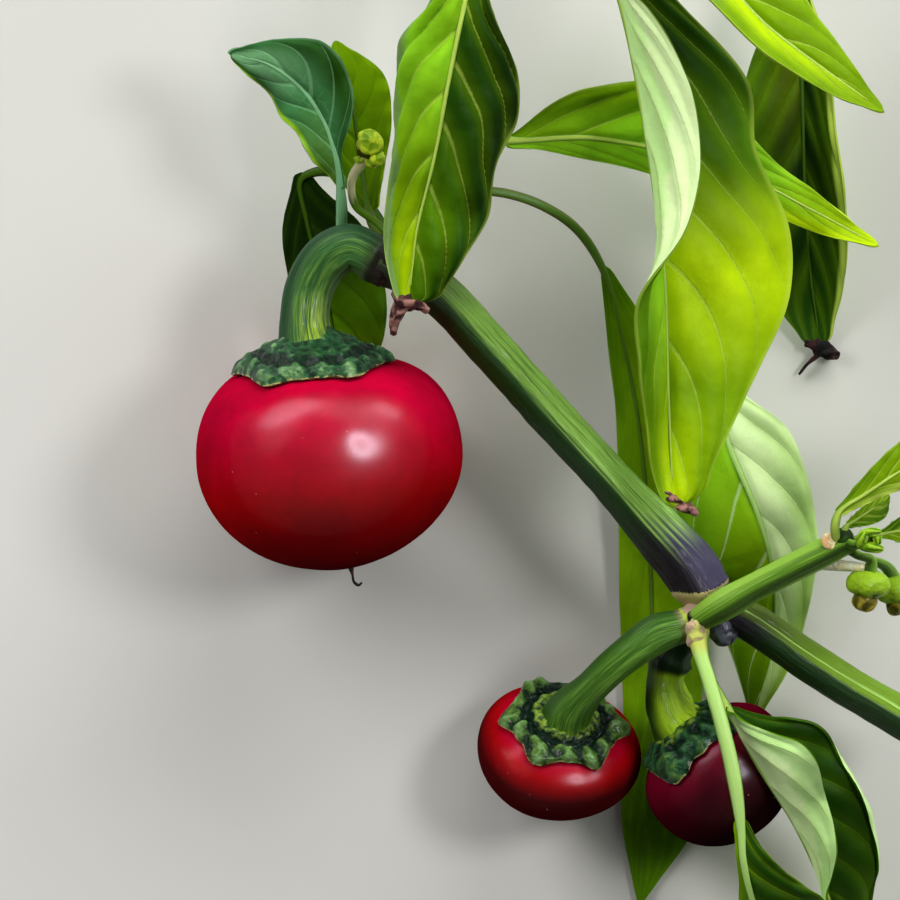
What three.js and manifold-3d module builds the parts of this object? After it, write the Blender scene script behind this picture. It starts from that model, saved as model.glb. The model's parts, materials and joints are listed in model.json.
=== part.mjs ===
// A cut branch of a cherry-type chilli pepper, lying down, with three ripe fruits.
// Units are millimetres. +Z is up from the surface it lies on, and the view from above
// shows the stem running from its cut end at the lower right to the upper left.

import * as THREE from 'three';
import { mergeVertices } from 'three/addons/utils/BufferGeometryUtils.js';
import Module from 'manifold-3d';

const wasm = await Module();
wasm.setup();

// Driving dimensions
const FRUIT_LARGE_RADIUS = 17.4;
const FRUIT_LEFT_RADIUS = 10.8;
const FRUIT_RIGHT_RADIUS = 10.1;
const STEM_RADIUS = 2.7;
const NODE_RADIUS = 3.6;
const UPPER_SHOOT_RADIUS = 1.7;
const SIDE_SHOOT_RADIUS = 1.75;
const STALK_RADIUS = 3.1;
const SMALL_STALK_RADIUS = 2.2;
const PETIOLE_RADIUS = 0.75;
const LEAF_THICKNESS_SHARE = 0.0105;
const CLEARANCE = 0.3;

// Fineness of the faceted surfaces
const STEM_SIDES = 10;
const TWIG_SIDES = 7;
const PETIOLE_SIDES = 5;
const BLADE_ACROSS = 6;
const BLADE_LENGTHWISE = 11;
const FRUIT_SEGMENTS = 22;
const FRUIT_RINGS = 12;
const CALYX_SEGMENTS = 18;
const CALYX_RINGS = 4;
const WELD = 1e-4;

// How a leaf's thickness, its petiole and its fused foot run, as shares
const RIB_SWELL = 0.7;
const RIB_WIDTH = 0.2;
const MARGIN_THINNING = 0.3;
const FOLD_STARTS_AT = 4;
const MARGIN_SWEEP = 0.35;
const PETIOLE_IN_BLADE = [0.02, 0.1, 0.2];
const PETIOLE_TAPER = [1.35, 1, 1, 0.85, 0.45];

// Where a fruit's dimple ends and its calyx starts to be lobed, and a bud's seat and ribs, as shares
const DIMPLE_WIDTH = 0.42;
const CALYX_LOBES_FROM = 0.7;
const BUD_SEAT = 0.7;
const BUD_RIBS = 5;
const BUD_RIB_DEPTH = 0.12;

// The step in radians over which the direction away from a fruit's skin is taken
const SKIN_STEP = 0.02;

const COLOURS = {
  stem: 0x5c8a35,
  fruitBright: 0xb3122b,
  fruitDark: 0x6d0f22,
  stalk: 0x3f7a33,
  leaf: 0x6f9e1c,
  leafDark: 0x31590f,
  leafPale: 0xa9cf78,
  leafBlue: 0x3f8a58,
  bud: 0x8fb32c,
};

const UP = new THREE.Vector3(0, 0, 1);
const radians = THREE.MathUtils.degToRad;
const point = ([x, y, z]) => new THREE.Vector3(x, y, z);
const routeOf = (points) => new THREE.CatmullRomCurve3(points.map(point), false, 'centripetal');

// A smooth value at share t of a list of evenly spaced values.
function along(list, t) {
  const place = THREE.MathUtils.clamp(t, 0, 1) * (list.length - 1);
  const i = Math.min(Math.floor(place), list.length - 2);
  const f = place - i;
  const before = list[Math.max(i - 1, 0)];
  const start = list[i];
  const end = list[i + 1];
  const after = list[Math.min(i + 2, list.length - 1)];
  const square = 2 * before - 5 * start + 4 * end - after;
  const cube = 3 * (start - end) + after - before;
  return start + 0.5 * f * (end - before + f * (square + f * cube));
}

function eachVertex(geometry, place) {
  const position = geometry.attributes.position;
  const vertex = new THREE.Vector3();
  for (let i = 0; i < position.count; i += 1) {
    vertex.fromBufferAttribute(position, i);
    const moved = place(vertex, i);
    position.setXYZ(i, moved.x, moved.y, moved.z);
  }
  return geometry;
}

function solidOf(geometry) {
  const bare = geometry.clone();
  bare.deleteAttribute('normal');
  bare.deleteAttribute('uv');
  const welded = mergeVertices(bare, WELD);
  return new wasm.Manifold(new wasm.Mesh({
    numProp: 3,
    vertProperties: new Float32Array(welded.attributes.position.array),
    triVerts: Uint32Array.from(welded.index.array),
  }));
}

function geometryOf(solid) {
  const mesh = solid.getMesh();
  const geometry = new THREE.BufferGeometry();
  geometry.setAttribute('position', new THREE.BufferAttribute(mesh.vertProperties, 3));
  geometry.setIndex(new THREE.BufferAttribute(mesh.triVerts, 1));
  return geometry;
}

// What is left of a solid once its neighbours, already grown by the clearance, are cut away.
function trimmed(solid, neighbours) {
  let rest = solid;
  for (const neighbour of neighbours) {
    rest = rest.subtract(neighbour);
  }
  const pieces = rest.decompose();
  return pieces.reduce((largest, piece) => (piece.volume() > largest.volume() ? piece : largest));
}

// A limb: a cylinder bent along its route, with its own radius at each place along it.
// A grown one is thicker and longer by the same amount.
function limb({ route, radii, sides = TWIG_SIDES, steps = 12, ridges = 0, ridgeDepth = 0 }, grow = 0) {
  const curve = routeOf(route);
  const beyond = { 0: -grow, [steps]: grow };
  const frames = curve.computeFrenetFrames(steps, false);
  const cylinder = new THREE.CylinderGeometry(1, 1, 1, sides, steps);
  return eachVertex(cylinder, (vertex) => {
    const t = vertex.y + 0.5;
    const ring = Math.round(t * steps);
    const angle = Math.atan2(vertex.z, vertex.x);
    const radius = along(radii, t) * (1 + ridgeDepth * Math.cos(ridges * angle)) + grow;
    const across = frames.normals[ring].clone().multiplyScalar(vertex.x * radius);
    const upward = frames.binormals[ring].clone().multiplyScalar(-vertex.z * radius);
    const middle = curve.getPointAt(t).addScaledVector(frames.tangents[ring], beyond[ring] ?? 0);
    return middle.add(across).add(upward);
  });
}

// How far an arc of unit length, turning from one angle to another, has gone at share u.
function arc(from, to, u) {
  const turn = to - from;
  if (Math.abs(turn) < 0.01) {
    return [u * Math.cos(from), u * Math.sin(from)];
  }
  const here = from + turn * u;
  return [(Math.sin(here) - Math.sin(from)) / turn, (Math.cos(from) - Math.cos(here)) / turn];
}

// A blade: each half leaves the midrib at one angle and ends at its margin at another.
// Left and right are as seen from the leaf's base, looking to its tip from above.
function blade(leaf) {
  const rib = routeOf(leaf.rib);
  const thickness = LEAF_THICKNESS_SHARE * rib.getLength();
  const lengthwise = leaf.lengthwise ?? BLADE_LENGTHWISE;
  const box = new THREE.BoxGeometry(2, 1, 2, leaf.across ?? BLADE_ACROSS, lengthwise, 1);
  return eachVertex(box, ({ x, y, z }) => {
    const s = y + 0.5;
    const u = Math.abs(x);
    const tangent = rib.getTangentAt(s);
    const facing = UP.clone().addScaledVector(tangent, -UP.dot(tangent)).normalize();
    const leftward = facing.clone().cross(tangent).normalize();
    const halves = [[leaf.left, leftward], [leaf.right, leftward.clone().negate()]];
    const shape = halves.map(([half, side]) => {
      const width = along(half.width, s);
      const open = THREE.MathUtils.smoothstep(width, thickness, FOLD_STARTS_AT * thickness);
      const from = radians(along(half.from, s)) * open;
      const to = radians(along(half.to ?? half.from, s)) * open;
      const here = from + (to - from) * u;
      const normal = facing.clone().multiplyScalar(Math.cos(here));
      normal.addScaledVector(side, -Math.sin(here));
      return { width, from, to, side, normal };
    });
    const half = x > 0 ? shape[1] : shape[0];
    const normal = u < 0.01 ? shape[0].normal.clone().add(shape[1].normal).normalize() : half.normal;
    const [out, up] = arc(half.from, half.to, u);
    const crest = Math.sin(2 * Math.PI * (leaf.waves ?? 3) * s + 2 * Math.sign(x));
    const wave = (leaf.ripple ?? 0) * u * u * crest;
    const sweep = (leaf.sweep ?? MARGIN_SWEEP) * half.width * u * (1 - s);
    const swell = RIB_SWELL * Math.exp(-((u / RIB_WIDTH) ** 2));
    const thick = thickness * (1 + swell - MARGIN_THINNING * u);
    return rib.getPointAt(s)
      .addScaledVector(half.side, half.width * out)
      .addScaledVector(facing, half.width * up + wave)
      .addScaledVector(tangent, sweep)
      .addScaledVector(normal, 0.5 * thick * z);
  });
}

// A leaf: the blade, with its petiole fused into the start of the midrib.
function leafSolid(leaf) {
  const rib = routeOf(leaf.rib);
  const radius = leaf.petioleRadius ?? PETIOLE_RADIUS;
  const inBlade = PETIOLE_IN_BLADE.map((s) => rib.getPointAt(s).toArray());
  const petiole = limb({
    route: [...leaf.petiole, ...inBlade],
    radii: PETIOLE_TAPER.map((share) => radius * share),
    steps: leaf.petioleSteps ?? 7,
    sides: PETIOLE_SIDES,
  });
  return solidOf(blade(leaf)).add(solidOf(petiole));
}

// The skin of a fruit about its own axis: round shoulders, a dimple under the stalk
// and a slight point at the far end. phi runs from the stalk end to the far end.
function skin(fruit, phi, theta) {
  const lobes = 1 + fruit.lobing * Math.cos(3 * theta + fruit.lobePhase) * Math.sin(phi);
  const cosine = Math.cos(phi);
  const fullness = cosine > 0 ? fruit.shoulderFullness : fruit.baseFullness;
  const radius = fruit.radius * Math.sin(phi) ** fullness * lobes;
  const top = fruit.top * Math.max(cosine, 0) ** fruit.shoulderFlatness;
  const bottom = fruit.bottom * Math.min(cosine, 0);
  const hollow = Math.exp(-((radius / (DIMPLE_WIDTH * fruit.radius)) ** 2));
  const height = top + bottom - (cosine > 0 ? fruit.dimple * hollow : 0);
  return new THREE.Vector3(radius * Math.sin(theta), height, radius * Math.cos(theta));
}

function outward(fruit, phi, theta) {
  if (phi < SKIN_STEP || phi > Math.PI - SKIN_STEP) {
    return new THREE.Vector3(0, Math.sign(Math.cos(phi)), 0);
  }
  const down = skin(fruit, phi + SKIN_STEP, theta).sub(skin(fruit, phi - SKIN_STEP, theta));
  const round = skin(fruit, phi, theta + SKIN_STEP).sub(skin(fruit, phi, theta - SKIN_STEP));
  return down.cross(round).normalize();
}

// Turns a shape made about +Y to the fruit's axis and moves it to the fruit's centre.
function seated(fruit, geometry) {
  const axis = point(fruit.axis).normalize();
  const turn = new THREE.Quaternion().setFromUnitVectors(new THREE.Vector3(0, 1, 0), axis);
  return geometry.applyQuaternion(turn).translate(...fruit.centre);
}

function fruitBody(fruit, grow = 0) {
  const sphere = new THREE.SphereGeometry(1, FRUIT_SEGMENTS, FRUIT_RINGS);
  const shaped = eachVertex(sphere, (vertex) => {
    const phi = Math.acos(THREE.MathUtils.clamp(vertex.y, -1, 1));
    const theta = Math.atan2(vertex.x, vertex.z);
    return skin(fruit, phi, theta).addScaledVector(outward(fruit, phi, theta), grow);
  });
  return seated(fruit, shaped);
}

// The calyx: a lobed cap that lies on the fruit's shoulders.
function calyx(fruit) {
  const profile = [];
  for (let j = 0; j <= CALYX_RINGS; j += 1) {
    profile.push(new THREE.Vector2(j / CALYX_RINGS, 0));
  }
  for (let j = CALYX_RINGS; j >= 0; j -= 1) {
    profile.push(new THREE.Vector2(j / CALYX_RINGS, 1));
  }
  const lathe = new THREE.LatheGeometry(profile, CALYX_SEGMENTS);
  const shaped = eachVertex(lathe, (vertex, index) => {
    const theta = (2 * Math.PI * Math.floor(index / profile.length)) / CALYX_SEGMENTS;
    const j = index % profile.length;
    const outer = j > CALYX_RINGS;
    const share = (outer ? profile.length - 1 - j : j) / CALYX_RINGS;
    const lobes = 1 + fruit.calyxLobing * Math.cos(fruit.calyxLobes * theta + fruit.lobePhase);
    const phi = fruit.calyxReach * share * (share > CALYX_LOBES_FROM ? lobes : 1);
    const crown = fruit.calyxThickness + fruit.calyxCrown * (1 - share) ** fruit.calyxSlope;
    const lift = outer ? 2 * CLEARANCE + crown : 2 * CLEARANCE;
    return skin(fruit, phi, theta).addScaledVector(outward(fruit, phi, theta), lift);
  });
  return seated(fruit, shaped);
}

function stalkSolid(fruit) {
  return solidOf(calyx(fruit)).add(solidOf(limb(fruit.stalk)));
}

// A flower bud on its thin stalk, with a toothed cup round its foot.
function budSolid(bud) {
  const curve = routeOf(bud.stalk);
  const heading = curve.getTangentAt(1);
  const turn = new THREE.Quaternion().setFromUnitVectors(new THREE.Vector3(0, 1, 0), heading);
  const body = eachVertex(new THREE.SphereGeometry(bud.radius, 10, 6), (vertex) => {
    const share = vertex.y / bud.radius;
    const rib = Math.cos(BUD_RIBS * Math.atan2(vertex.x, vertex.z));
    const swell = 1 + BUD_RIB_DEPTH * rib * (1 - share * share);
    return new THREE.Vector3(vertex.x * swell, vertex.y * bud.stretch, vertex.z * swell);
  });
  const seat = curve.getPointAt(1).addScaledVector(heading, bud.radius * BUD_SEAT);
  body.applyQuaternion(turn).translate(...seat.toArray());
  const stalk = limb({ route: bud.stalk, radii: bud.radii, sides: PETIOLE_SIDES, steps: 6 });
  return solidOf(body).add(solidOf(stalk));
}

// Fruits
const fruitLarge = {
  name: 'large',
  colour: 'fruitBright',
  centre: [-16.1, -1, 17.4],
  axis: [-0.07, 1, 0.17],
  radius: FRUIT_LARGE_RADIUS,
  top: 12.6,
  bottom: 14.7,
  shoulderFullness: 0.71,
  shoulderFlatness: 0.9,
  baseFullness: 1.08,
  dimple: 2.6,
  lobing: 0.023,
  lobePhase: 1.57,
  calyxReach: 0.5,
  calyxLobes: 6,
  calyxLobing: 0.06,
  calyxThickness: 0.9,
  calyxCrown: 5.8,
  calyxSlope: 1.1,
  stalk: {
    route: [
      [-17.2, 9.6, 19.2], [-18.5, 13.4, 19.7], [-18.9, 17, 19.8], [-18.2, 21.4, 19.8],
      [-15.8, 25.1, 20.9], [-12.6, 26.3, 22], [-9.4, 24.6, 22.6],
    ],
    radii: [4.6, 3.9, 3.2, STALK_RADIUS, STALK_RADIUS, STALK_RADIUS, 2.9],
    sides: 10,
    steps: 11,
  },
};

const fruitLeft = {
  name: 'left',
  colour: 'fruitBright',
  centre: [14.1, -39.7, 9.2],
  axis: [0.15, 0.72, 0.67],
  radius: FRUIT_LEFT_RADIUS,
  top: 6.2,
  bottom: 6.6,
  shoulderFullness: 0.8,
  shoulderFlatness: 0.9,
  baseFullness: 1,
  dimple: 1.2,
  lobing: 0.02,
  lobePhase: 1.2,
  calyxReach: 0.66,
  calyxLobes: 6,
  calyxLobing: 0.12,
  calyxThickness: 0.85,
  calyxCrown: 1.6,
  calyxSlope: 2,
  stalk: {
    route: [
      [14.8, -36.2, 12.7], [15.8, -33.8, 15.6], [18.6, -30.7, 18.9], [22.6, -27, 21.2],
      [27.2, -23.8, 21.6], [30.9, -22.6, 21.2], [33.6, -20.4, 20.6],
    ],
    radii: [3.6, 2.9, SMALL_STALK_RADIUS, SMALL_STALK_RADIUS, SMALL_STALK_RADIUS, 2.35, 2.1],
    sides: 8,
    steps: 10,
  },
};

const fruitRight = {
  name: 'right',
  colour: 'fruitDark',
  centre: [35.2, -42.3, 11.7],
  axis: [-0.64, 0.74, 0.2],
  radius: FRUIT_RIGHT_RADIUS,
  top: 7.6,
  bottom: 9.2,
  shoulderFullness: 0.86,
  shoulderFlatness: 0.85,
  baseFullness: 0.96,
  dimple: 1.2,
  lobing: 0.02,
  lobePhase: 0.2,
  calyxReach: 0.78,
  calyxLobes: 5,
  calyxLobing: 0.12,
  calyxThickness: 0.8,
  calyxCrown: 2.4,
  calyxSlope: 2,
  stalk: {
    route: [
      [30.9, -37.2, 13.1], [29, -34.6, 13.7], [28.2, -31.2, 14.2], [28.7, -27.6, 15],
      [31, -24, 16.2], [33.6, -20.2, 18.4],
    ],
    radii: [3.9, 3.2, 2.5, 2.1, 2, 1.8],
    sides: 8,
    steps: 9,
  },
};

// Stems
const NODE_CENTRE = [33.6, -18.9, 20];
const stemMain = {
  route: [
    [62.4, -37.1, 16.5], [58.5, -34.7, 17], [52, -30.9, 17.8], [45.9, -27, 18.6], [40, -22.9, 19.4],
    NODE_CENTRE, [31.2, -15.4, 20.4], [24.6, -8, 21], [18.6, -1.4, 21.6], [12.6, 5.1, 22.1],
    [4.4, 14.2, 22.5], [-0.8, 19.8, 22.7], [-4.6, 22.6, 22.8], [-9.1, 24.6, 22.8],
  ],
  radii: [
    2.55, 2.5, 2.5, 2.45, 2.6, NODE_RADIUS, 3.3, 2.75, STEM_RADIUS,
    STEM_RADIUS, STEM_RADIUS, STEM_RADIUS, 2.75, 2.8,
  ],
  sides: STEM_SIDES,
  steps: 26,
  ridges: 4,
  ridgeDepth: 0.05,
};

const shootUpper = {
  route: [
    [-7.4, 24.4, 22.6], [-5, 28.4, 22.2], [-2.4, 33.2, 22], [0.2, 39.4, 22], [1.6, 48, 22.6],
    [2.2, 57, 23.4], [4.2, 65.6, 24.2],
  ],
  radii: [1.9, UPPER_SHOOT_RADIUS, UPPER_SHOOT_RADIUS, 1.65, 1.6, 1.55, 1.65],
  sides: 7,
  steps: 13,
};

const shootEnd = {
  route: [
    [4, 65, 24.1], [6.6, 69.6, 24.7], [11.6, 72.8, 25], [21, 75.2, 25.2], [31.6, 74.4, 24.6],
    [38.6, 71.4, 24],
  ],
  radii: [1.5, 1.45, 1.35, 1.2, 0.95, 0.6],
  sides: 7,
  steps: 12,
};

const shootSide = {
  route: [
    [31.9, -22.4, 22.8], [34.2, -20.9, 24.4], [38.8, -18.2, 25.3], [44.6, -15.2, 26],
    [48.6, -13.2, 26.6], [51.8, -11.6, 27.1],
  ],
  radii: [1.8, 1.95, SIDE_SHOOT_RADIUS, SIDE_SHOOT_RADIUS, 1.75, 1.5],
  sides: 9,
  steps: 10,
  ridges: 3,
  ridgeDepth: 0.05,
};

// The dry stub of a lost twig, on the underside of the node.
const stub = {
  route: [[34, -20.6, 19.6], [35.1, -23, 19.4], [35.6, -24.6, 19.4]],
  radii: [1.5, 1.4, 1],
  steps: 4,
};

// Leaves, each from its petiole's start on its carrier's axis to its tip
const leaves = [
  {
    name: 'leaf_front_left',
    colour: 'leaf',
    petiole: [[3.6, 64.4, 24], [4.4, 67.4, 27.6], [4.2, 67.6, 31]],
    rib: [
      [3.6, 66.2, 33.4], [2, 58.2, 35], [0, 48.6, 34.4], [-1.8, 38.7, 32.6], [-3.9, 30.6, 30.8],
      [-5, 22.6, 29.6], [-5.2, 18.9, 29],
    ],
    left: { width: [0.6, 3.4, 9.6, 11, 8.6, 8.4, 4.4, 2], from: [0, -10, -12, -12, -10, -8, -6, 0],
      to: [0, -30, -40, -40, -30, -25, -10, 0] },
    right: { width: [0.6, 4.4, 9, 8, 6.2, 5, 4, 1.8], from: [0, -8, -12, -12, -12, -10, -6, 0],
      to: [0, -60, -72, -72, -60, -40, -20, 0] },
    ripple: 0.5,
  },
  {
    name: 'leaf_front_right',
    colour: 'leaf',
    petiole: [[15.4, 74.2, 25.2], [17.6, 74.2, 28.4], [19, 71.4, 31.2]],
    rib: [
      [19.5, 67.6, 32.4], [22.3, 57, 32.8], [24.8, 44, 32.6], [26.7, 31, 32], [27.9, 20, 31.2],
      [28.2, 8, 30.2], [28.4, -1, 29.4], [29.4, -7.4, 28.8],
    ],
    left: { width: [0.7, 7.4, 15.4, 15.2, 18, 17.4, 12.6, 7.4, 2.8], from: [0, 0, -4, -6, -8, -8, -6, -4, 0],
      to: [0, -20, -34, -34, -30, -30, -25, -15, 0] },
    right: { width: [0.7, 6, 9.4, 10.4, 9.4, 8, 6.6, 3.6, 1.8],
      from: [20, 80, 106, 104, 84, 48, 48, 30, 0], to: [40, 140, 156, 160, 160, 112, 70, 50, 0] },
    lengthwise: 13,
    ripple: 0.3,
  },
  {
    name: 'leaf_top_right',
    colour: 'leaf',
    petiole: [[8.6, 70.8, 24.8], [10, 76.4, 29.6], [14.6, 78.6, 35]],
    rib: [
      [20.4, 76.4, 38.4], [28.4, 68.2, 40.4], [37.1, 58.2, 40.4], [42.1, 53.2, 39.8], [46.6, 50, 39],
      [51.1, 46.8, 38.2], [55.8, 43.7, 37.4],
    ],
    left: { width: [0.7, 5, 7.6, 7.8, 6, 3.2, 0.5], from: [0, -4, -8, -8, -8, -6, 0],
      to: [0, -20, -30, -30, -25, -15, 0] },
    right: { width: [0.7, 3.4, 4.8, 4.4, 3.6, 2.6, 0.5], from: [0, 30, 36, 36, 32, 20, 0],
      to: [0, 44, 50, 50, 40, 30, 0] },
    ripple: 0.3,
  },
  {
    name: 'leaf_back_right',
    colour: 'leafDark',
    petiole: [[33.4, 73.9, 24.5], [37.8, 72.6, 20.4], [43, 68.4, 17.2]],
    rib: [
      [45.6, 62.4, 14.6], [46, 51, 12.4], [46.4, 38, 9.4], [47, 27, 5.8], [48, 19, 2.4], [48.8, 13.6, 1.2],
    ],
    left: { width: [0.7, 3.6, 5.4, 6.6, 6.4, 4.2, 1.6], from: [0, 6, 10, 10, 8, 8, 0],
      to: [0, 30, 60, 60, 50, 20, 0] },
    right: { width: [0.7, 6.4, 8.8, 9.4, 8.6, 6, 1.8], from: [0, 10, 12, 12, 12, 8, 0],
      to: [0, 10, 12, 12, 12, 8, 0] },
    ripple: 0.4,
  },
  {
    name: 'leaf_crossing',
    colour: 'leaf',
    petiole: [[0.3, 39.8, 22], [3.2, 41.2, 21.2], [5.4, 40.4, 21]],
    rib: [
      [7.2, 40, 21.2], [14.3, 40.8, 21.8], [24.7, 39.6, 21.6], [34, 37.4, 20.8], [43, 33.6, 19.6],
      [50, 29.6, 18.4], [55.8, 26.8, 17.6],
    ],
    left: { width: [0.7, 6.2, 8.8, 7.2, 3.4, 2, 0.5], from: [0, 6, 6, 6, 6, 4, 0],
      to: [0, 16, 20, 20, 16, 8, 0] },
    right: { width: [0.7, 2.8, 3.6, 4.4, 3.6, 2.4, 0.5], from: [0, -24, -30, -28, -20, -10, 0] },
    ripple: 0.3,
    sweep: 0.2,
  },
  {
    name: 'leaf_back_long',
    colour: 'leafDark',
    petiole: [[-2.2, 33.6, 22], [2, 33.8, 20], [7.4, 33.4, 18.4], [12.6, 31.6, 16.6], [17, 28.4, 14.4]],
    petioleRadius: 0.62,
    petioleSteps: 10,
    rib: [
      [20.2, 24.2, 11.8], [22.5, 14.7, 8.2], [24.4, 6, 5.6], [25.7, -4.3, 3.4], [26.4, -16, 1.8],
      [26.6, -30, 0.9], [26, -44, 0.7], [25, -60.2, 0.7],
    ],
    left: { width: [0.7, 4.4, 6, 7.2, 7.2, 6.8, 6.6, 6.4, 0.6], from: [0, 20, 20, 14, 6, 2, 0, 0, 0] },
    right: { width: [0.7, 2, 3, 3.8, 4.2, 4, 3.4, 3, 0.5], from: [0, 20, 16, 12, 6, 2, 0, 0, 0] },
    lengthwise: 13,
    sweep: 0.1,
  },
  {
    name: 'leaf_back_pale',
    colour: 'leafPale',
    petiole: [[33.6, -18.6, 19], [32.4, -15.6, 13.4], [29.8, -9, 9.4], [28.8, -1, 10.4], [30, 4.6, 13]],
    petioleSteps: 8,
    rib: [
      [33.2, 8, 14.8], [35.7, 0.9, 14.8], [38.7, -4.9, 13.6], [42, -13.5, 11.2], [42.6, -24.7, 6.4],
      [39.9, -36, 2.2],
    ],
    left: { width: [0.7, 7.4, 8.2, 6.6, 4.4, 2.6, 0.6], from: [0, -8, -10, -10, -8, -4, 0] },
    right: { width: [0.7, 7, 10.4, 10.8, 9, 5, 0.6], from: [0, -4, -6, -6, -4, 0, 0] },
    sweep: 0.1,
  },
  {
    name: 'leaf_upper_left',
    colour: 'leafBlue',
    petiole: [
      [-7.6, 24.4, 22.4], [-9.8, 24.8, 18.6], [-12.6, 25.8, 17.2], [-14, 28.6, 18], [-14.1, 31.4, 19.8],
    ],
    petioleSteps: 8,
    rib: [
      [-14.2, 34.2, 21.4], [-15.2, 39.4, 23.2], [-17.2, 44.2, 24], [-20, 47.6, 24.2], [-23.6, 50.1, 23.6],
      [-28.6, 51.4, 22.4],
    ],
    left: { width: [0.6, 3.4, 4.2, 4.8, 3.8, 0.6], from: [0, 16, 16, -10, -30, 0],
      to: [0, 20, 10, -50, -50, 0] },
    right: { width: [0.6, 1.2, 5.2, 6.8, 3.4, 0.6], from: [0, 16, 20, 18, 10, 0] },
    ripple: 0.4,
    sweep: 0.1,
  },
  {
    name: 'leaf_upper_left_back',
    colour: 'leaf',
    petiole: [[-5.6, 27.6, 22.2], [-8, 28.4, 17.8], [-9.8, 29.2, 16]],
    rib: [[-10.6, 31, 15.4], [-11.6, 37, 15.6], [-12.4, 43, 16.4], [-13.6, 49, 17], [-15, 53.4, 17]],
    left: { width: [0.6, 3.6, 4.6, 3.8, 0.5], from: [0, 6, 6, 6, 0] },
    right: { width: [0.6, 3, 4.8, 4.8, 0.5], from: [0, -6, -8, -8, 0] },
    sweep: 0.1,
  },
  {
    name: 'leaf_behind_stalk',
    colour: 'leafDark',
    petiole: [[-5.4, 22.8, 22.6], [-6.6, 25, 14.6], [-10.4, 31.6, 10.2], [-15.4, 36.4, 10]],
    rib: [[-19.6, 36.4, 9.4], [-18.8, 30, 8.2], [-16.8, 22, 6.6], [-15, 14, 4.6], [-14.2, 6.6, 2.2]],
    left: { width: [1.2, 6.8, 8.2, 6.4, 0.8], from: [0, 10, 12, 8, 0] },
    right: { width: [0.9, 3.6, 4.2, 3.8, 0.8], from: [0, 6, 6, 6, 0] },
    sweep: 0,
  },
  {
    name: 'leaf_lower_hanging',
    colour: 'leaf',
    petiole: [
      [33, -21.2, 21], [32.2, -24.8, 24.2], [33.6, -30, 26], [35.1, -35.1, 26.8], [36.8, -42.4, 26.8],
    ],
    petioleRadius: 0.95,
    petioleSteps: 10,
    rib: [[37.6, -47.6, 26.4], [38.1, -53.6, 25.4], [39.6, -59.4, 22.4], [42, -65, 17], [44.4, -69.6, 10]],
    left: { width: [0.9, 5.2, 8.8, 6.4, 0.6], from: [0, -2, -2, -6, 0] },
    right: { width: [0.9, 2, 4.6, 4, 0.6], from: [0, -30, -30, -20, 0] },
    sweep: 0.3,
  },
  {
    name: 'leaf_lower_curled',
    colour: 'leafPale',
    petiole: [[33.8, -21, 20.4], [32.9, -25.2, 21.2], [33.8, -29.8, 21.8]],
    rib: [
      [36.1, -33.4, 22.2], [38.6, -38.4, 22], [42.2, -44.4, 20.4], [46, -50.6, 17], [48.8, -57, 12.6],
      [51.6, -63.6, 7.6], [53.4, -68.6, 3.4],
    ],
    left: { width: [0.8, 9.6, 11, 9.4, 7.4, 4, 0.5], from: [0, 0, -4, -6, -8, -4, 0],
      to: [0, -10, -16, 6, -20, -10, 0] },
    right: { width: [0.7, 8, 6.6, 5, 3.6, 2.2, 0.5], from: [30, 100, 114, 96, 50, 10, 0],
      to: [50, 150, 158, 140, 90, 20, 0] },
    ripple: 0.8,
    waves: 4,
    sweep: 0.2,
  },
  {
    name: 'leaf_tip_long',
    colour: 'leaf',
    petiole: [[50.4, -12.4, 27], [49.8, -10.2, 29.4]],
    petioleRadius: 0.6,
    rib: [[49.8, -8.4, 30.2], [53.8, -5.6, 31], [58.5, -2.5, 31], [64, 0.6, 29.4], [69.2, 2.6, 26.6]],
    left: { width: [0.6, 2.2, 3.4, 2.8, 0.5], from: [0, 10, 14, 10, 0] },
    right: { width: [0.6, 1.6, 3, 2.6, 0.5], from: [0, -20, -20, -14, 0] },
    lengthwise: 8,
  },
  {
    name: 'leaflet_tip_pointed',
    colour: 'leaf',
    petiole: [[51, -12, 27.2], [51, -10.6, 28]],
    petioleRadius: 0.5,
    rib: [[51.3, -9.9, 28.2], [53.2, -8.6, 28.4], [55.2, -7.2, 28], [56.8, -5.7, 27.2]],
    left: { width: [0.5, 0.9, 1, 0.4], from: [0, 10, 10, 0] },
    right: { width: [0.5, 1.6, 1.9, 0.4], from: [0, -12, -12, 0] },
    lengthwise: 6,
    across: 4,
  },
  {
    name: 'leaflet_tip_right',
    colour: 'leaf',
    petiole: [[51.4, -11.8, 26.8], [53.8, -11.4, 25.6]],
    petioleRadius: 0.5,
    rib: [[55.6, -11, 25.2], [59, -10.4, 25.2], [62.4, -10.4, 24.6], [65.6, -11.4, 23]],
    left: { width: [0.5, 2.2, 2.4, 0.5], from: [0, 8, 8, 0] },
    right: { width: [0.5, 2.2, 2.6, 0.5], from: [0, -12, -12, 0] },
    lengthwise: 6,
    across: 4,
  },
  {
    name: 'leaflet_end_left',
    colour: 'leaf',
    petiole: [[36.2, 72.7, 24.3], [36.6, 74.6, 26]],
    petioleRadius: 0.5,
    rib: [[37.6, 75.4, 26.8], [40.6, 78.4, 28], [44.6, 80.2, 27.8], [48.6, 80.4, 26.2]],
    left: { width: [0.5, 2.6, 3, 0.5], from: [0, 12, 12, 0] },
    right: { width: [0.5, 2.6, 3, 0.5], from: [0, -12, -12, 0] },
    lengthwise: 6,
    across: 4,
  },
  {
    name: 'leaflet_end_right',
    colour: 'leaf',
    petiole: [[38.6, 71.5, 24.1], [40, 71.6, 26.4]],
    petioleRadius: 0.5,
    rib: [[40.8, 71.6, 27.6], [44.4, 72.2, 29], [48.4, 71.8, 28.8], [52, 70.2, 27]],
    left: { width: [0.5, 2.4, 2.6, 0.5], from: [0, 12, 12, 0] },
    right: { width: [0.5, 2.4, 2.6, 0.5], from: [0, -12, -12, 0] },
    lengthwise: 6,
    across: 4,
  },
];

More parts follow.
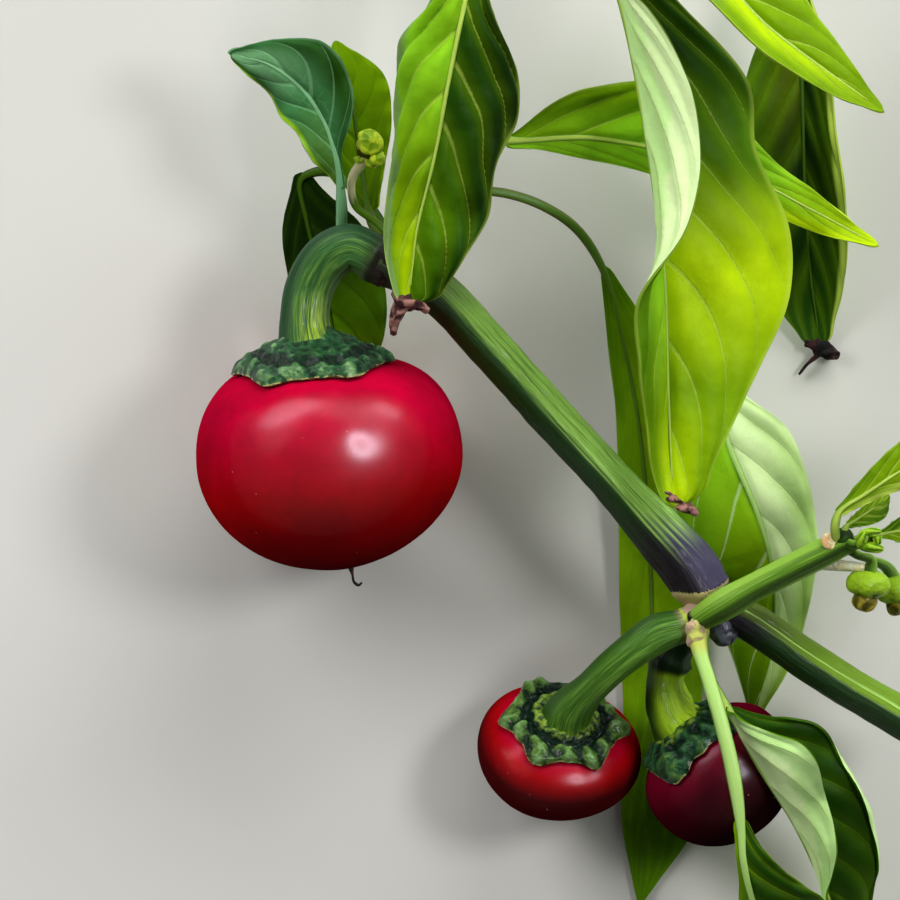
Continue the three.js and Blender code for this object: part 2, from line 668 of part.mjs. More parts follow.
// Flower buds
const buds = [
  {
    name: 'bud_upper',
    stalk: [
      [-6.4, 26.2, 22.4], [-9.4, 29.4, 20], [-12.4, 31.9, 19.6], [-12.8, 35.2, 19.8], [-11.2, 37.9, 20.2],
    ],
    radii: [0.6, 0.45, 0.45, 0.5, 0.7],
    radius: 1.9,
    stretch: 1.1,
  },
  {
    name: 'bud_side_left',
    stalk: [[50.6, -12.2, 26.6], [52.8, -13.6, 26.4], [54.6, -14.4, 25.8], [54.6, -15.6, 25.2]],
    radii: [0.6, 0.5, 0.6, 1],
    radius: 2.2,
    stretch: 1.25,
  },
  {
    name: 'bud_side_right',
    stalk: [[50.6, -12, 26.4], [53.6, -13.8, 22.6], [56.8, -15.2, 21.2], [57.8, -16.8, 20.6]],
    radii: [0.6, 0.5, 0.6, 1],
    radius: 2.1,
    stretch: 1.3,
  },
  {
    name: 'bud_side_green',
    stalk: [[51.2, -11.8, 27.2], [52.2, -12.2, 29.2], [53.2, -12.4, 30]],
    radii: [0.7, 0.6, 0.6],
    radius: 1.4,
    stretch: 0.9,
  },
];

const plant = new THREE.Group();

function addNode(name, geometry, colour, roughness) {
  geometry.computeVertexNormals();
  const material = new THREE.MeshStandardMaterial({ color: COLOURS[colour], roughness, metalness: 0 });
  const mesh = new THREE.Mesh(geometry, material);
  mesh.name = name;
  plant.add(mesh);
}

// Stems first, as everything else is cut clear of them
const stems = [
  ['stem_main', solidOf(limb(stemMain)).add(solidOf(limb(stub))), stemMain],
  ['shoot_upper', solidOf(limb(shootUpper)), shootUpper],
  ['shoot_end', solidOf(limb(shootEnd)), shootEnd],
  ['shoot_side', solidOf(limb(shootSide)), shootSide],
];
const keepOut = [];
for (const [name, solid, stem] of stems) {
  addNode(name, geometryOf(trimmed(solid, keepOut)), 'stem', 0.55);
  keepOut.push(solidOf(limb(stem, CLEARANCE)));
}
keepOut.push(solidOf(limb(stub, CLEARANCE)));

const fruits = [fruitLarge, fruitLeft, fruitRight];
for (const fruit of fruits) {
  addNode(`fruit_${fruit.name}`, geometryOf(solidOf(fruitBody(fruit))), fruit.colour, 0.2);
  keepOut.push(solidOf(fruitBody(fruit, CLEARANCE)));
}
for (const fruit of fruits) {
  addNode(`stalk_${fruit.name}`, geometryOf(trimmed(stalkSolid(fruit), keepOut)), 'stalk', 0.5);
  keepOut.push(solidOf(limb(fruit.stalk, CLEARANCE)));
}

for (const bud of buds) {
  addNode(bud.name, geometryOf(trimmed(budSolid(bud), keepOut)), 'bud', 0.5);
}

for (const leaf of leaves) {
  addNode(leaf.name, geometryOf(trimmed(leafSolid(leaf), keepOut)), leaf.colour, 0.5);
}

// The origin is under the middle of the whole branch, on the surface it lies on.
const box = new THREE.Box3().setFromObject(plant, true);
const middle = box.getCenter(new THREE.Vector3());
plant.position.set(-middle.x, -middle.y, -box.min.z);

export default plant;
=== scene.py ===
import json
import math
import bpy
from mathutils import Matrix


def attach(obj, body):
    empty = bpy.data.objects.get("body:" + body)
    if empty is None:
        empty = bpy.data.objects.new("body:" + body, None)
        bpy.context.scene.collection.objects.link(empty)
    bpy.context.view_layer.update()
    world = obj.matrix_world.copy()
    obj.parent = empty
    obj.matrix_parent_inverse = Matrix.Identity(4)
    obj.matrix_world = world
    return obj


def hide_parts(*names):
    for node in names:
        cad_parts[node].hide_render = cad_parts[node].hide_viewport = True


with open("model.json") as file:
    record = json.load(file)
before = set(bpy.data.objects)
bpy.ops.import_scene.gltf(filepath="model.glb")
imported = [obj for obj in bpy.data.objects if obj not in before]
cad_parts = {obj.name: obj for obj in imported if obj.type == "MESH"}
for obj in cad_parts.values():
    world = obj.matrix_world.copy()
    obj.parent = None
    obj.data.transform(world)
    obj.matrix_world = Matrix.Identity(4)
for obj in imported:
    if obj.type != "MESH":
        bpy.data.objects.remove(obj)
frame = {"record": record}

from types import SimpleNamespace

import bmesh
import bpy
import numpy as np
from bpy.props import FloatProperty, FloatVectorProperty, PointerProperty
from mathutils import Color, Matrix, Vector, geometry, noise

# A cut branch of a cherry chilli pepper: ribbed stem, glossy fruits, long drooping leaves.
# Shapes are drawn in millimetres, as the solids are, and are put into the frame at the end.

bl_info = {
    "name": "Cherry chilli branch",
    "version": (1, 0, 0),
    "blender": (4, 5, 0),
    "location": "View3D > Sidebar > Chilli",
    "description": "Builds a lying branch of a cherry chilli pepper around its frame",
    "category": "Object",
}

MM = 0.001
UP = Vector((0, 0, 1))
CUT_MIDDLE = Vector((62.4, -37.1, 16.5))
CUT_MOUNT_ABOVE_MIDDLE = 0.6
CLEARANCE = 0.3
SPAN_STEPS = 24
WELD = 0.002
CAP_ROWS = 5
BALL_SEGMENTS = 40
SHARP_ANGLE = math.radians(60)
FIBRE_STRETCH = 0.12
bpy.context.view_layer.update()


def upright(axis):
    """The direction square to an axis that comes nearest to straight up."""
    return (UP - axis * axis.z).normalized()


def drawing_origin():
    """Where the drawing's zero lies in the frame: the middle of the stem's cut is known in both."""
    mount = frame["record"]["mounts"][0]
    up_the_face = upright(Vector(mount["axis"]))
    return Vector(mount["pos_m"]) - (up_the_face * CUT_MOUNT_ABOVE_MIDDLE + CUT_MIDDLE) * MM


ORIGIN = drawing_origin()


# Lines, values and angles

def along(values, share):
    """A smooth value at a share of a list of evenly spaced values."""
    place = min(max(share, 0), 1) * (len(values) - 1)
    i = min(int(place), len(values) - 2)
    past = place - i
    before, start = values[max(i - 1, 0)], values[i]
    end, after = values[i + 1], values[min(i + 2, len(values) - 1)]
    square = 2 * before - 5 * start + 4 * end - after
    cube = 3 * (start - end) + after - before
    return start + 0.5 * past * (end - before + past * (square + past * cube))


def eased(value, low, high):
    """0 below low, 1 above high, and smooth between them."""
    share = min(max((value - low) / (high - low), 0), 1)
    return share * share * (3 - 2 * share)


def hump(distance, width):
    """1 at a distance of 0, and fading out smoothly on both sides over a width."""
    return math.exp(-((distance / width) ** 2))


def circled(angle, size=1, height=0):
    """A spot on a circle, which gives a noise that closes up round a stem."""
    return Vector((math.cos(angle) * size, math.sin(angle) * size, height))


def seat(made_about, axis, centre):
    """Turns a shape from the axis that it was made about to its own, and moves it to its centre."""
    turn = made_about.rotation_difference(Vector(axis).normalized())
    return Matrix.Translation(Vector(centre)) @ turn.to_matrix().to_4x4()


def arc(start, end, u):
    """How far an arc of unit length, turning from one angle to another, has gone at share u."""
    turn = end - start
    if abs(turn) < 0.01:
        return u * math.cos(start), u * math.sin(start)
    here = start + turn * u
    return (math.sin(here) - math.sin(start)) / turn, (math.cos(start) - math.cos(here)) / turn


class Route:
    """A smooth line through a few points, walked by its own length."""

    def __init__(self, points):
        knots = [Vector(point) for point in points]
        knots = [2 * knots[0] - knots[1], *knots, 2 * knots[-1] - knots[-2]]
        line = []
        for before, start, end, after in zip(knots, knots[1:], knots[2:], knots[3:]):
            gaps = [(b - a).length ** 0.5 for a, b in ((before, start), (start, end), (end, after))]
            leave = (start - before) / gaps[0] - (end - before) / (gaps[0] + gaps[1])
            arrive = (after - end) / gaps[2] - (after - start) / (gaps[1] + gaps[2])
            leave = leave * gaps[1] + end - start
            arrive = arrive * gaps[1] + end - start
            line += geometry.interpolate_bezier(
                start, start + leave / 3, end - arrive / 3, end, SPAN_STEPS)[:-1]
        line.append(knots[-2])
        self.line = np.array(line)
        steps = np.linalg.norm(np.diff(self.line, axis=0), axis=1)
        self.walked = np.concatenate(([0], np.cumsum(steps)))
        self.length = float(self.walked[-1])

    def at(self, share):
        """The point at a share of the length."""
        here = share * self.length
        return Vector([float(np.interp(here, self.walked, self.line[:, k])) for k in range(3)])

    def heading(self, share):
        """The direction at a share of the length."""
        step = 0.002
        return (self.at(min(share + step, 1)) - self.at(max(share - step, 0))).normalized()

    def share_near(self, point):
        """The share of the length at which the line comes nearest to a point."""
        gaps = np.linalg.norm(self.line - np.array(point), axis=1)
        return float(self.walked[int(gaps.argmin())]) / self.length


# Meshes

def as_object(mesh, name, materials):
    """Turns a mesh that is being edited into an object of the scene."""
    data = bpy.data.meshes.new(name)
    mesh.to_mesh(data)
    mesh.free()
    for material in materials:
        data.materials.append(material)
    piece = bpy.data.objects.new(name, data)
    bpy.context.scene.collection.objects.link(piece)
    return piece


def finished(mesh, name, materials):
    """Puts a drawn mesh into the frame as an object with smooth faces."""
    bmesh.ops.transform(
        mesh, matrix=Matrix.Translation(ORIGIN) @ Matrix.Scale(MM, 4), verts=mesh.verts)
    piece = as_object(mesh, name, materials)
    piece.data.polygons.foreach_set("use_smooth", [True] * len(piece.data.polygons))
    piece.data.set_sharp_from_angle(angle=SHARP_ANGLE)
    return piece


def joined(pieces):
    """The first piece with the others made part of it."""
    with bpy.context.temp_override(
            active_object=pieces[0], object=pieces[0],
            selected_objects=pieces, selected_editable_objects=pieces):
        bpy.ops.object.join()
    return pieces[0]


def placed(piece, node, slot):
    """The piece stands for its node in the frame. The slot is not used."""
    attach(piece, "root")
    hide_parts(node)
    return piece


def drawn_grid(across, lengthwise, row_of, place):
    """A grid moved row by row. place gives a point and what the attribute "skin" keeps of it."""
    mesh = bmesh.new()
    bmesh.ops.create_grid(mesh, x_segments=across, y_segments=lengthwise, size=0.5)
    skin = mesh.verts.layers.float_vector.new("skin")
    rows = {}
    for vert in mesh.verts:
        u, v = vert.co.x + 0.5, vert.co.y + 0.5
        row = round(v * lengthwise)
        if row not in rows:
            rows[row] = row_of(v)
        vert.co, vert[skin] = place(u, v, rows[row])
    mesh.normal_update()
    return mesh


def welded(mesh):
    """Closes a rolled grid's seam and ends, and turns its faces outward."""
    bmesh.ops.remove_doubles(mesh, verts=mesh.verts, dist=WELD)
    bmesh.ops.recalc_face_normals(mesh, faces=mesh.faces)
    return mesh


def closed_tube(route, radius_of, around, lengthwise, cap=0.35):
    """A tube along a route, closed with rounded ends. radius_of takes the share along, the angle
    round it from the side through the top, and the place."""

    def row_of(v):
        row = v * lengthwise
        share = min(max((row - CAP_ROWS) / (lengthwise - 2 * CAP_ROWS), 0), 1)
        closing = min(row / CAP_ROWS, (lengthwise - row) / CAP_ROWS, 1)
        heading = route.heading(share)
        facing = upright(heading)
        lean = math.cos(closing * math.pi / 2) * cap * (-1 if v < 0.5 else 1)
        return SimpleNamespace(
            share=share, middle=route.at(share), heading=heading, facing=facing,
            side=heading.cross(facing), open=math.sin(closing * math.pi / 2), lean=lean)

    def place(u, v, row):
        angle = 2 * math.pi * u
        outward = row.side * math.cos(angle) + row.facing * math.sin(angle)
        radius = radius_of(row.share, angle, row.middle)
        point = row.middle + outward * (radius * row.open) + row.heading * row.lean * radius
        return point, circled(angle, 1, row.share * route.length)

    return welded(drawn_grid(around, lengthwise, row_of, place))


def ellipsoid(centre, axis, radii, relief=lambda angle, height: 0.0):
    """A round body about an axis: its radius across, its radius along the axis, and a relief as a
    share of the radius. "skin" keeps the relief, the angle round it and the height."""
    mesh = bmesh.new()
    bmesh.ops.create_uvsphere(
        mesh, u_segments=BALL_SEGMENTS, v_segments=BALL_SEGMENTS * 2 // 3, radius=1)
    skin = mesh.verts.layers.float_vector.new("skin")
    for vert in mesh.verts:
        height = min(max(vert.co.z, -1), 1)
        angle = math.atan2(vert.co.x, vert.co.y)
        raised = relief(angle, height) * (1 - height ** 8)
        vert[skin] = Vector((raised, math.sin(angle), height))
        size = 1 + raised
        vert.co = Vector((vert.co.x * radii[0], vert.co.y * radii[0], vert.co.z * radii[1])) * size
    bmesh.ops.transform(mesh, matrix=seat(UP, axis, centre), verts=mesh.verts)
    bmesh.ops.recalc_face_normals(mesh, faces=mesh.faces)
    return mesh


def fibre(angle, walked, fine, seed):
    """Uneven lengthwise fibres round a stem, from -1 to 1."""
    return noise.noise(circled(angle, fine, walked * FIBRE_STRETCH + seed))


# Node trees

def shown(red, green, blue):
    """A colour as the eye meets it, 0 to 255, in the renderer's own linear values."""
    return tuple(Color((red / 255, green / 255, blue / 255)).from_srgb_to_scene_linear())


def chosen(name):
    """A colour as it is set in the panel."""
    return tuple(getattr(bpy.context.scene.chilli_colours, name))


class Tree:
    """Short words for laying out a node tree. A colour is given by its name in the panel, or as a
    factor by its values."""

    def __init__(self, tree):
        self.tree = tree

    def add(self, kind, *, out=0, sockets=None, **settings):
        """A new node's output of a number, or the node itself where out is None."""
        node = self.tree.nodes.new("ShaderNode" + kind)
        for key, value in settings.items():
            setattr(node, key, value)
        for key, value in (sockets or {}).items():
            self.feed(node, key, value)
        return node.outputs[out] if out is not None else node

    def feed(self, node, key, value):
        """Joins an output to a node's input, or sets the input to a value."""
        if isinstance(value, str):
            value = chosen(value)
        if isinstance(value, bpy.types.NodeSocket):
            self.tree.links.new(value, node.inputs[key])
        elif isinstance(value, tuple):
            node.inputs[key].default_value = (*value, 1)
        else:
            node.inputs[key].default_value = value

    def math(self, operation, *values):
        return self.add("Math", operation=operation, sockets=dict(enumerate(values)))

    def times(self, first, second):
        return self.math("MULTIPLY", first, second)

    def plus(self, first, second):
        return self.math("ADD", first, second)

    def minus(self, first, second):
        return self.math("SUBTRACT", first, second)

    def over(self, first, second):
        return self.math("DIVIDE", first, second)

    def scaled(self, value, factor, added):
        return self.math("MULTIPLY_ADD", value, factor, added)

    def away(self, value):
        """How far a value lies from 0, on either side."""
        return self.math("ABSOLUTE", value)

    def mix(self, share, first, second, blend_type="MIX"):
        """The first colour where the share is 0, and the second where it is 1."""
        return self.add("Mix", data_type="RGBA", blend_type=blend_type, out=2,
                        sockets={0: share, 6: first, 7: second})

    def eased(self, value, low, high, start=0, end=1):
        """start below low, end above high, and smooth between them."""
        return self.add("MapRange", interpolation_type="SMOOTHSTEP", clamp=True, sockets={
            "Value": value, "From Min": low, "From Max": high, "To Min": start, "To Max": end})

    def ramp(self, value, *stops):
        """Colours by a value. A stop is a place and the name of its colour."""
        node = self.add("ValToRGB", out=None, sockets={0: value})
        elements = node.color_ramp.elements
        elements.remove(elements[1])
        elements[0].position = stops[0][0]
        elements[0].color = (*chosen(stops[0][1]), 1)
        for place, colour in stops[1:]:
            elements.new(place).color = (*chosen(colour), 1)
        return node.outputs[0]

    def noise(self, vector, scale, detail, roughness=0.55):
        return self.add("TexNoise", sockets={
            "Vector": vector, "Scale": scale, "Detail": detail, "Roughness": roughness})

    def skin(self):
        """The three values that a mesh keeps at each of its points."""
        kept = self.add("Attribute", attribute_name="skin", out=1)
        return self.add("SeparateXYZ", out=None, sockets={0: kept}).outputs

    def give(self, out, values):
        """Joins a group's values to its outputs."""
        for label, value in values.items():
            self.tree.links.new(value, out[label])

    def group(self, name, **sockets):
        """The outputs of a shared group, with its inputs set by name."""
        node = self.add("Group", out=None, node_tree=bpy.data.node_groups[name])
        for key, value in sockets.items():
            self.feed(node, key.replace("_", " ").capitalize(), value)
        return node.outputs

    def mottle(self, size, low, high):
        """A mask of uneven patches of a size in mm."""
        return self.group("mottle", size=size, low=low, high=high)["Patches"]


class Finish(Tree):
    """A material with its principled shader and a bump node of a depth in mm."""

    def __init__(self, name, roughness, coat=0.0, coat_roughness=0.1, bump=0.1, specular=0.14):
        self.material = bpy.data.materials.new(name)
        self.material.use_nodes = True
        super().__init__(self.material.node_tree)
        self.surface = self.tree.nodes["Principled BSDF"]
        self.surface.inputs["Roughness"].default_value = roughness
        self.surface.inputs["Specular IOR Level"].default_value = specular
        self.surface.inputs["Coat Weight"].default_value = coat
        self.surface.inputs["Coat Roughness"].default_value = coat_roughness
        self.relief = self.add("Bump", out=None, sockets={"Strength": 1.0, "Distance": bump * MM})
        self.feed(self.surface, "Normal", self.relief.outputs[0])

    def painted(self, colour, height):
        """The material, with its colour and the height of its relief joined up."""
        self.feed(self.surface, "Base Color", colour)
        self.feed(self.relief, "Height", height)
        return self.material


def new_group(name, inputs, outputs):
    """An empty shader group with named inputs and outputs, and its tree and the two end nodes."""
    tree = bpy.data.node_groups.new(name, "ShaderNodeTree")
    for label, default in inputs.items():
        socket = tree.interface.new_socket(label, in_out="INPUT", socket_type="NodeSocketFloat")
        socket.default_value = default
    for label in outputs:
        tree.interface.new_socket(label, in_out="OUTPUT", socket_type="NodeSocketFloat")
    start = tree.nodes.new("NodeGroupInput")
    end = tree.nodes.new("NodeGroupOutput")
    return Tree(tree), start.outputs, end.inputs


def build_mottle_group():
    """Uneven patches in the body of a surface, on object coordinates, in patches of a size in mm."""
    t, given, out = new_group("mottle", {"Size": 5, "Low": 0.35, "High": 0.65}, ["Patches"])
    place = t.add("TexCoord", out=3)
    scale = t.over(1 / MM, given["Size"])
    patches = t.add("TexNoise", sockets={"Vector": place, "Scale": scale, "Detail": 4})
    t.give(out, {"Patches": t.eased(patches, given["Low"], given["High"])})


VEIN_BEND = 0.5
VEIN_RISE = 0.7


def build_vein_group():
    """A blade's veins and margin. The attribute "skin" holds the share across from -1 to 1, the
    share along and the distance from the midrib in mm."""
    t, given, out = new_group(
        "leaf_veins",
        {"Side veins": 6, "Climb": 0.3, "Length": 50, "Vein width": 0.2, "Net size": 1.4},
        ["Across", "Along", "Right", "Veins", "Halo", "Net", "Margin"])
    skin = t.add("Attribute", attribute_name="skin", out=1)
    parts = t.add("SeparateXYZ", out=None, sockets={0: skin}).outputs
    across = t.away(parts[0])
    right = t.math("GREATER_THAN", parts[0], 0.0)
    bend = t.scaled(across, VEIN_BEND, VEIN_RISE)
    climb = t.times(t.times(across, bend), given["Climb"])
    shaky = t.scaled(t.noise(skin, 9, 2), 0.012, -0.006)
    level = t.plus(t.minus(parts[1], climb), shaky)
    phase = t.scaled(level, given["Side veins"], t.times(right, 0.5))
    gap = t.math("PINGPONG", phase, 0.5)
    spacing = t.over(given["Length"], given["Side veins"])
    distance = t.times(gap, spacing)
    width = t.times(given["Vein width"], t.minus(1.25, across))
    line = t.minus(1, t.eased(distance, width, t.times(width, 2.6)))
    reach = t.eased(across, 0.86, 0.98, 1, 0)
    halo = t.minus(1, t.eased(distance, 0.2, t.times(spacing, 0.42)))
    length_mm = t.times(parts[1], given["Length"])
    spot = t.add("CombineXYZ", sockets={0: parts[2], 1: length_mm})
    net = t.add("TexVoronoi", feature="DISTANCE_TO_EDGE", sockets={
        "Vector": spot, "Scale": t.over(1, given["Net size"])})
    t.give(out, {
        "Across": across, "Along": parts[1], "Right": right, "Veins": t.times(line, reach),
        "Halo": halo, "Net": t.eased(net, 0.0, 0.12, 1, 0), "Margin": t.eased(across, 0.93, 0.985)})


def build_fibre_group():
    """Lengthwise streaks on a stem or stalk. The attribute "skin" holds the direction round it
    and the distance along in mm."""
    t, given, out = new_group(
        "stem_fibres", {"Fineness": 6, "Stretch": 0.12},
        ["Streaks", "Threads", "Up", "Side", "Walked"])
    parts = t.skin()
    spot = t.add("CombineXYZ", sockets={
        0: t.times(parts[0], given["Fineness"]),
        1: t.times(parts[1], given["Fineness"]),
        2: t.times(parts[2], given["Stretch"])})
    t.give(out, {
        "Streaks": t.noise(spot, 1, 4), "Threads": t.noise(spot, 4.5, 3), "Up": parts[1],
        "Side": parts[0], "Walked": parts[2]})


def build_speck_group():
    """Tiny pale dots and scars on a skin, as a mask."""
    t, given, out = new_group("specks", {"Spacing": 3, "Share": 0.06}, ["Dots"])
    place = t.add("TexCoord", out=3)
    cells = t.add("TexVoronoi", sockets={
        "Vector": place, "Scale": t.over(1 / MM, given["Spacing"])})
    edge = t.times(given["Share"], 0.4)
    t.give(out, {"Dots": t.eased(cells, given["Share"], edge)})


# Leaves

def half(width, start, end=None, roll=(0, 0)):
    """One side of a blade along the leaf: its width, the angles at which it leaves the midrib and
    ends near the margin, and how far the margin itself rolls over."""
    return SimpleNamespace(width=width, start=start, end=end or start, roll=roll)


ROLL_FROM = 0.83


def bent(start, end, roll, share):
    """Where a half of unit width has got to at a share of it: out, up and the angle there."""
    inner = min(share / ROLL_FROM, 1)
    out, up = (ROLL_FROM * part for part in arc(start, end, inner))
    here = start + (end - start) * inner
    if share > ROLL_FROM:
        rest = (share - ROLL_FROM) / (1 - ROLL_FROM)
        more_out, more_up = arc(end, end + roll, rest)
        out += (1 - ROLL_FROM) * more_out
        up += (1 - ROLL_FROM) * more_up
        here = end + roll * rest
    return out, up, here


def leaf(node, slot, petiole, rib, left, right, look, **more):
    """What is drawn for one leaf. look names its colours from base to tip, for each half and,
    where it differs, for the outer part of each half."""
    usual = dict(ripple=0.0, waves=3, sweep=0.35, petiole_radius=0.75, side_veins=6, climb=0.3,
                 pucker=0.5, across=52, lengthwise=130, margin_wave=0.12, vein_share=0.36,
                 edge_from=0.8, patchy=0.45, halo=0.18, net=0.0)
    usual_look = dict(veins="rib", under="pale", rib="usual", left_out=look["left"],
                      right_out=look["right"])
    return SimpleNamespace(
        node=node, slot=slot, petiole=petiole, rib=rib, left=left, right=right,
        look={**usual_look, **look}, **{**usual, **more})


LEAFLET = dict(petiole_radius=0.5, across=24, lengthwise=48, side_veins=5, pucker=0.15)


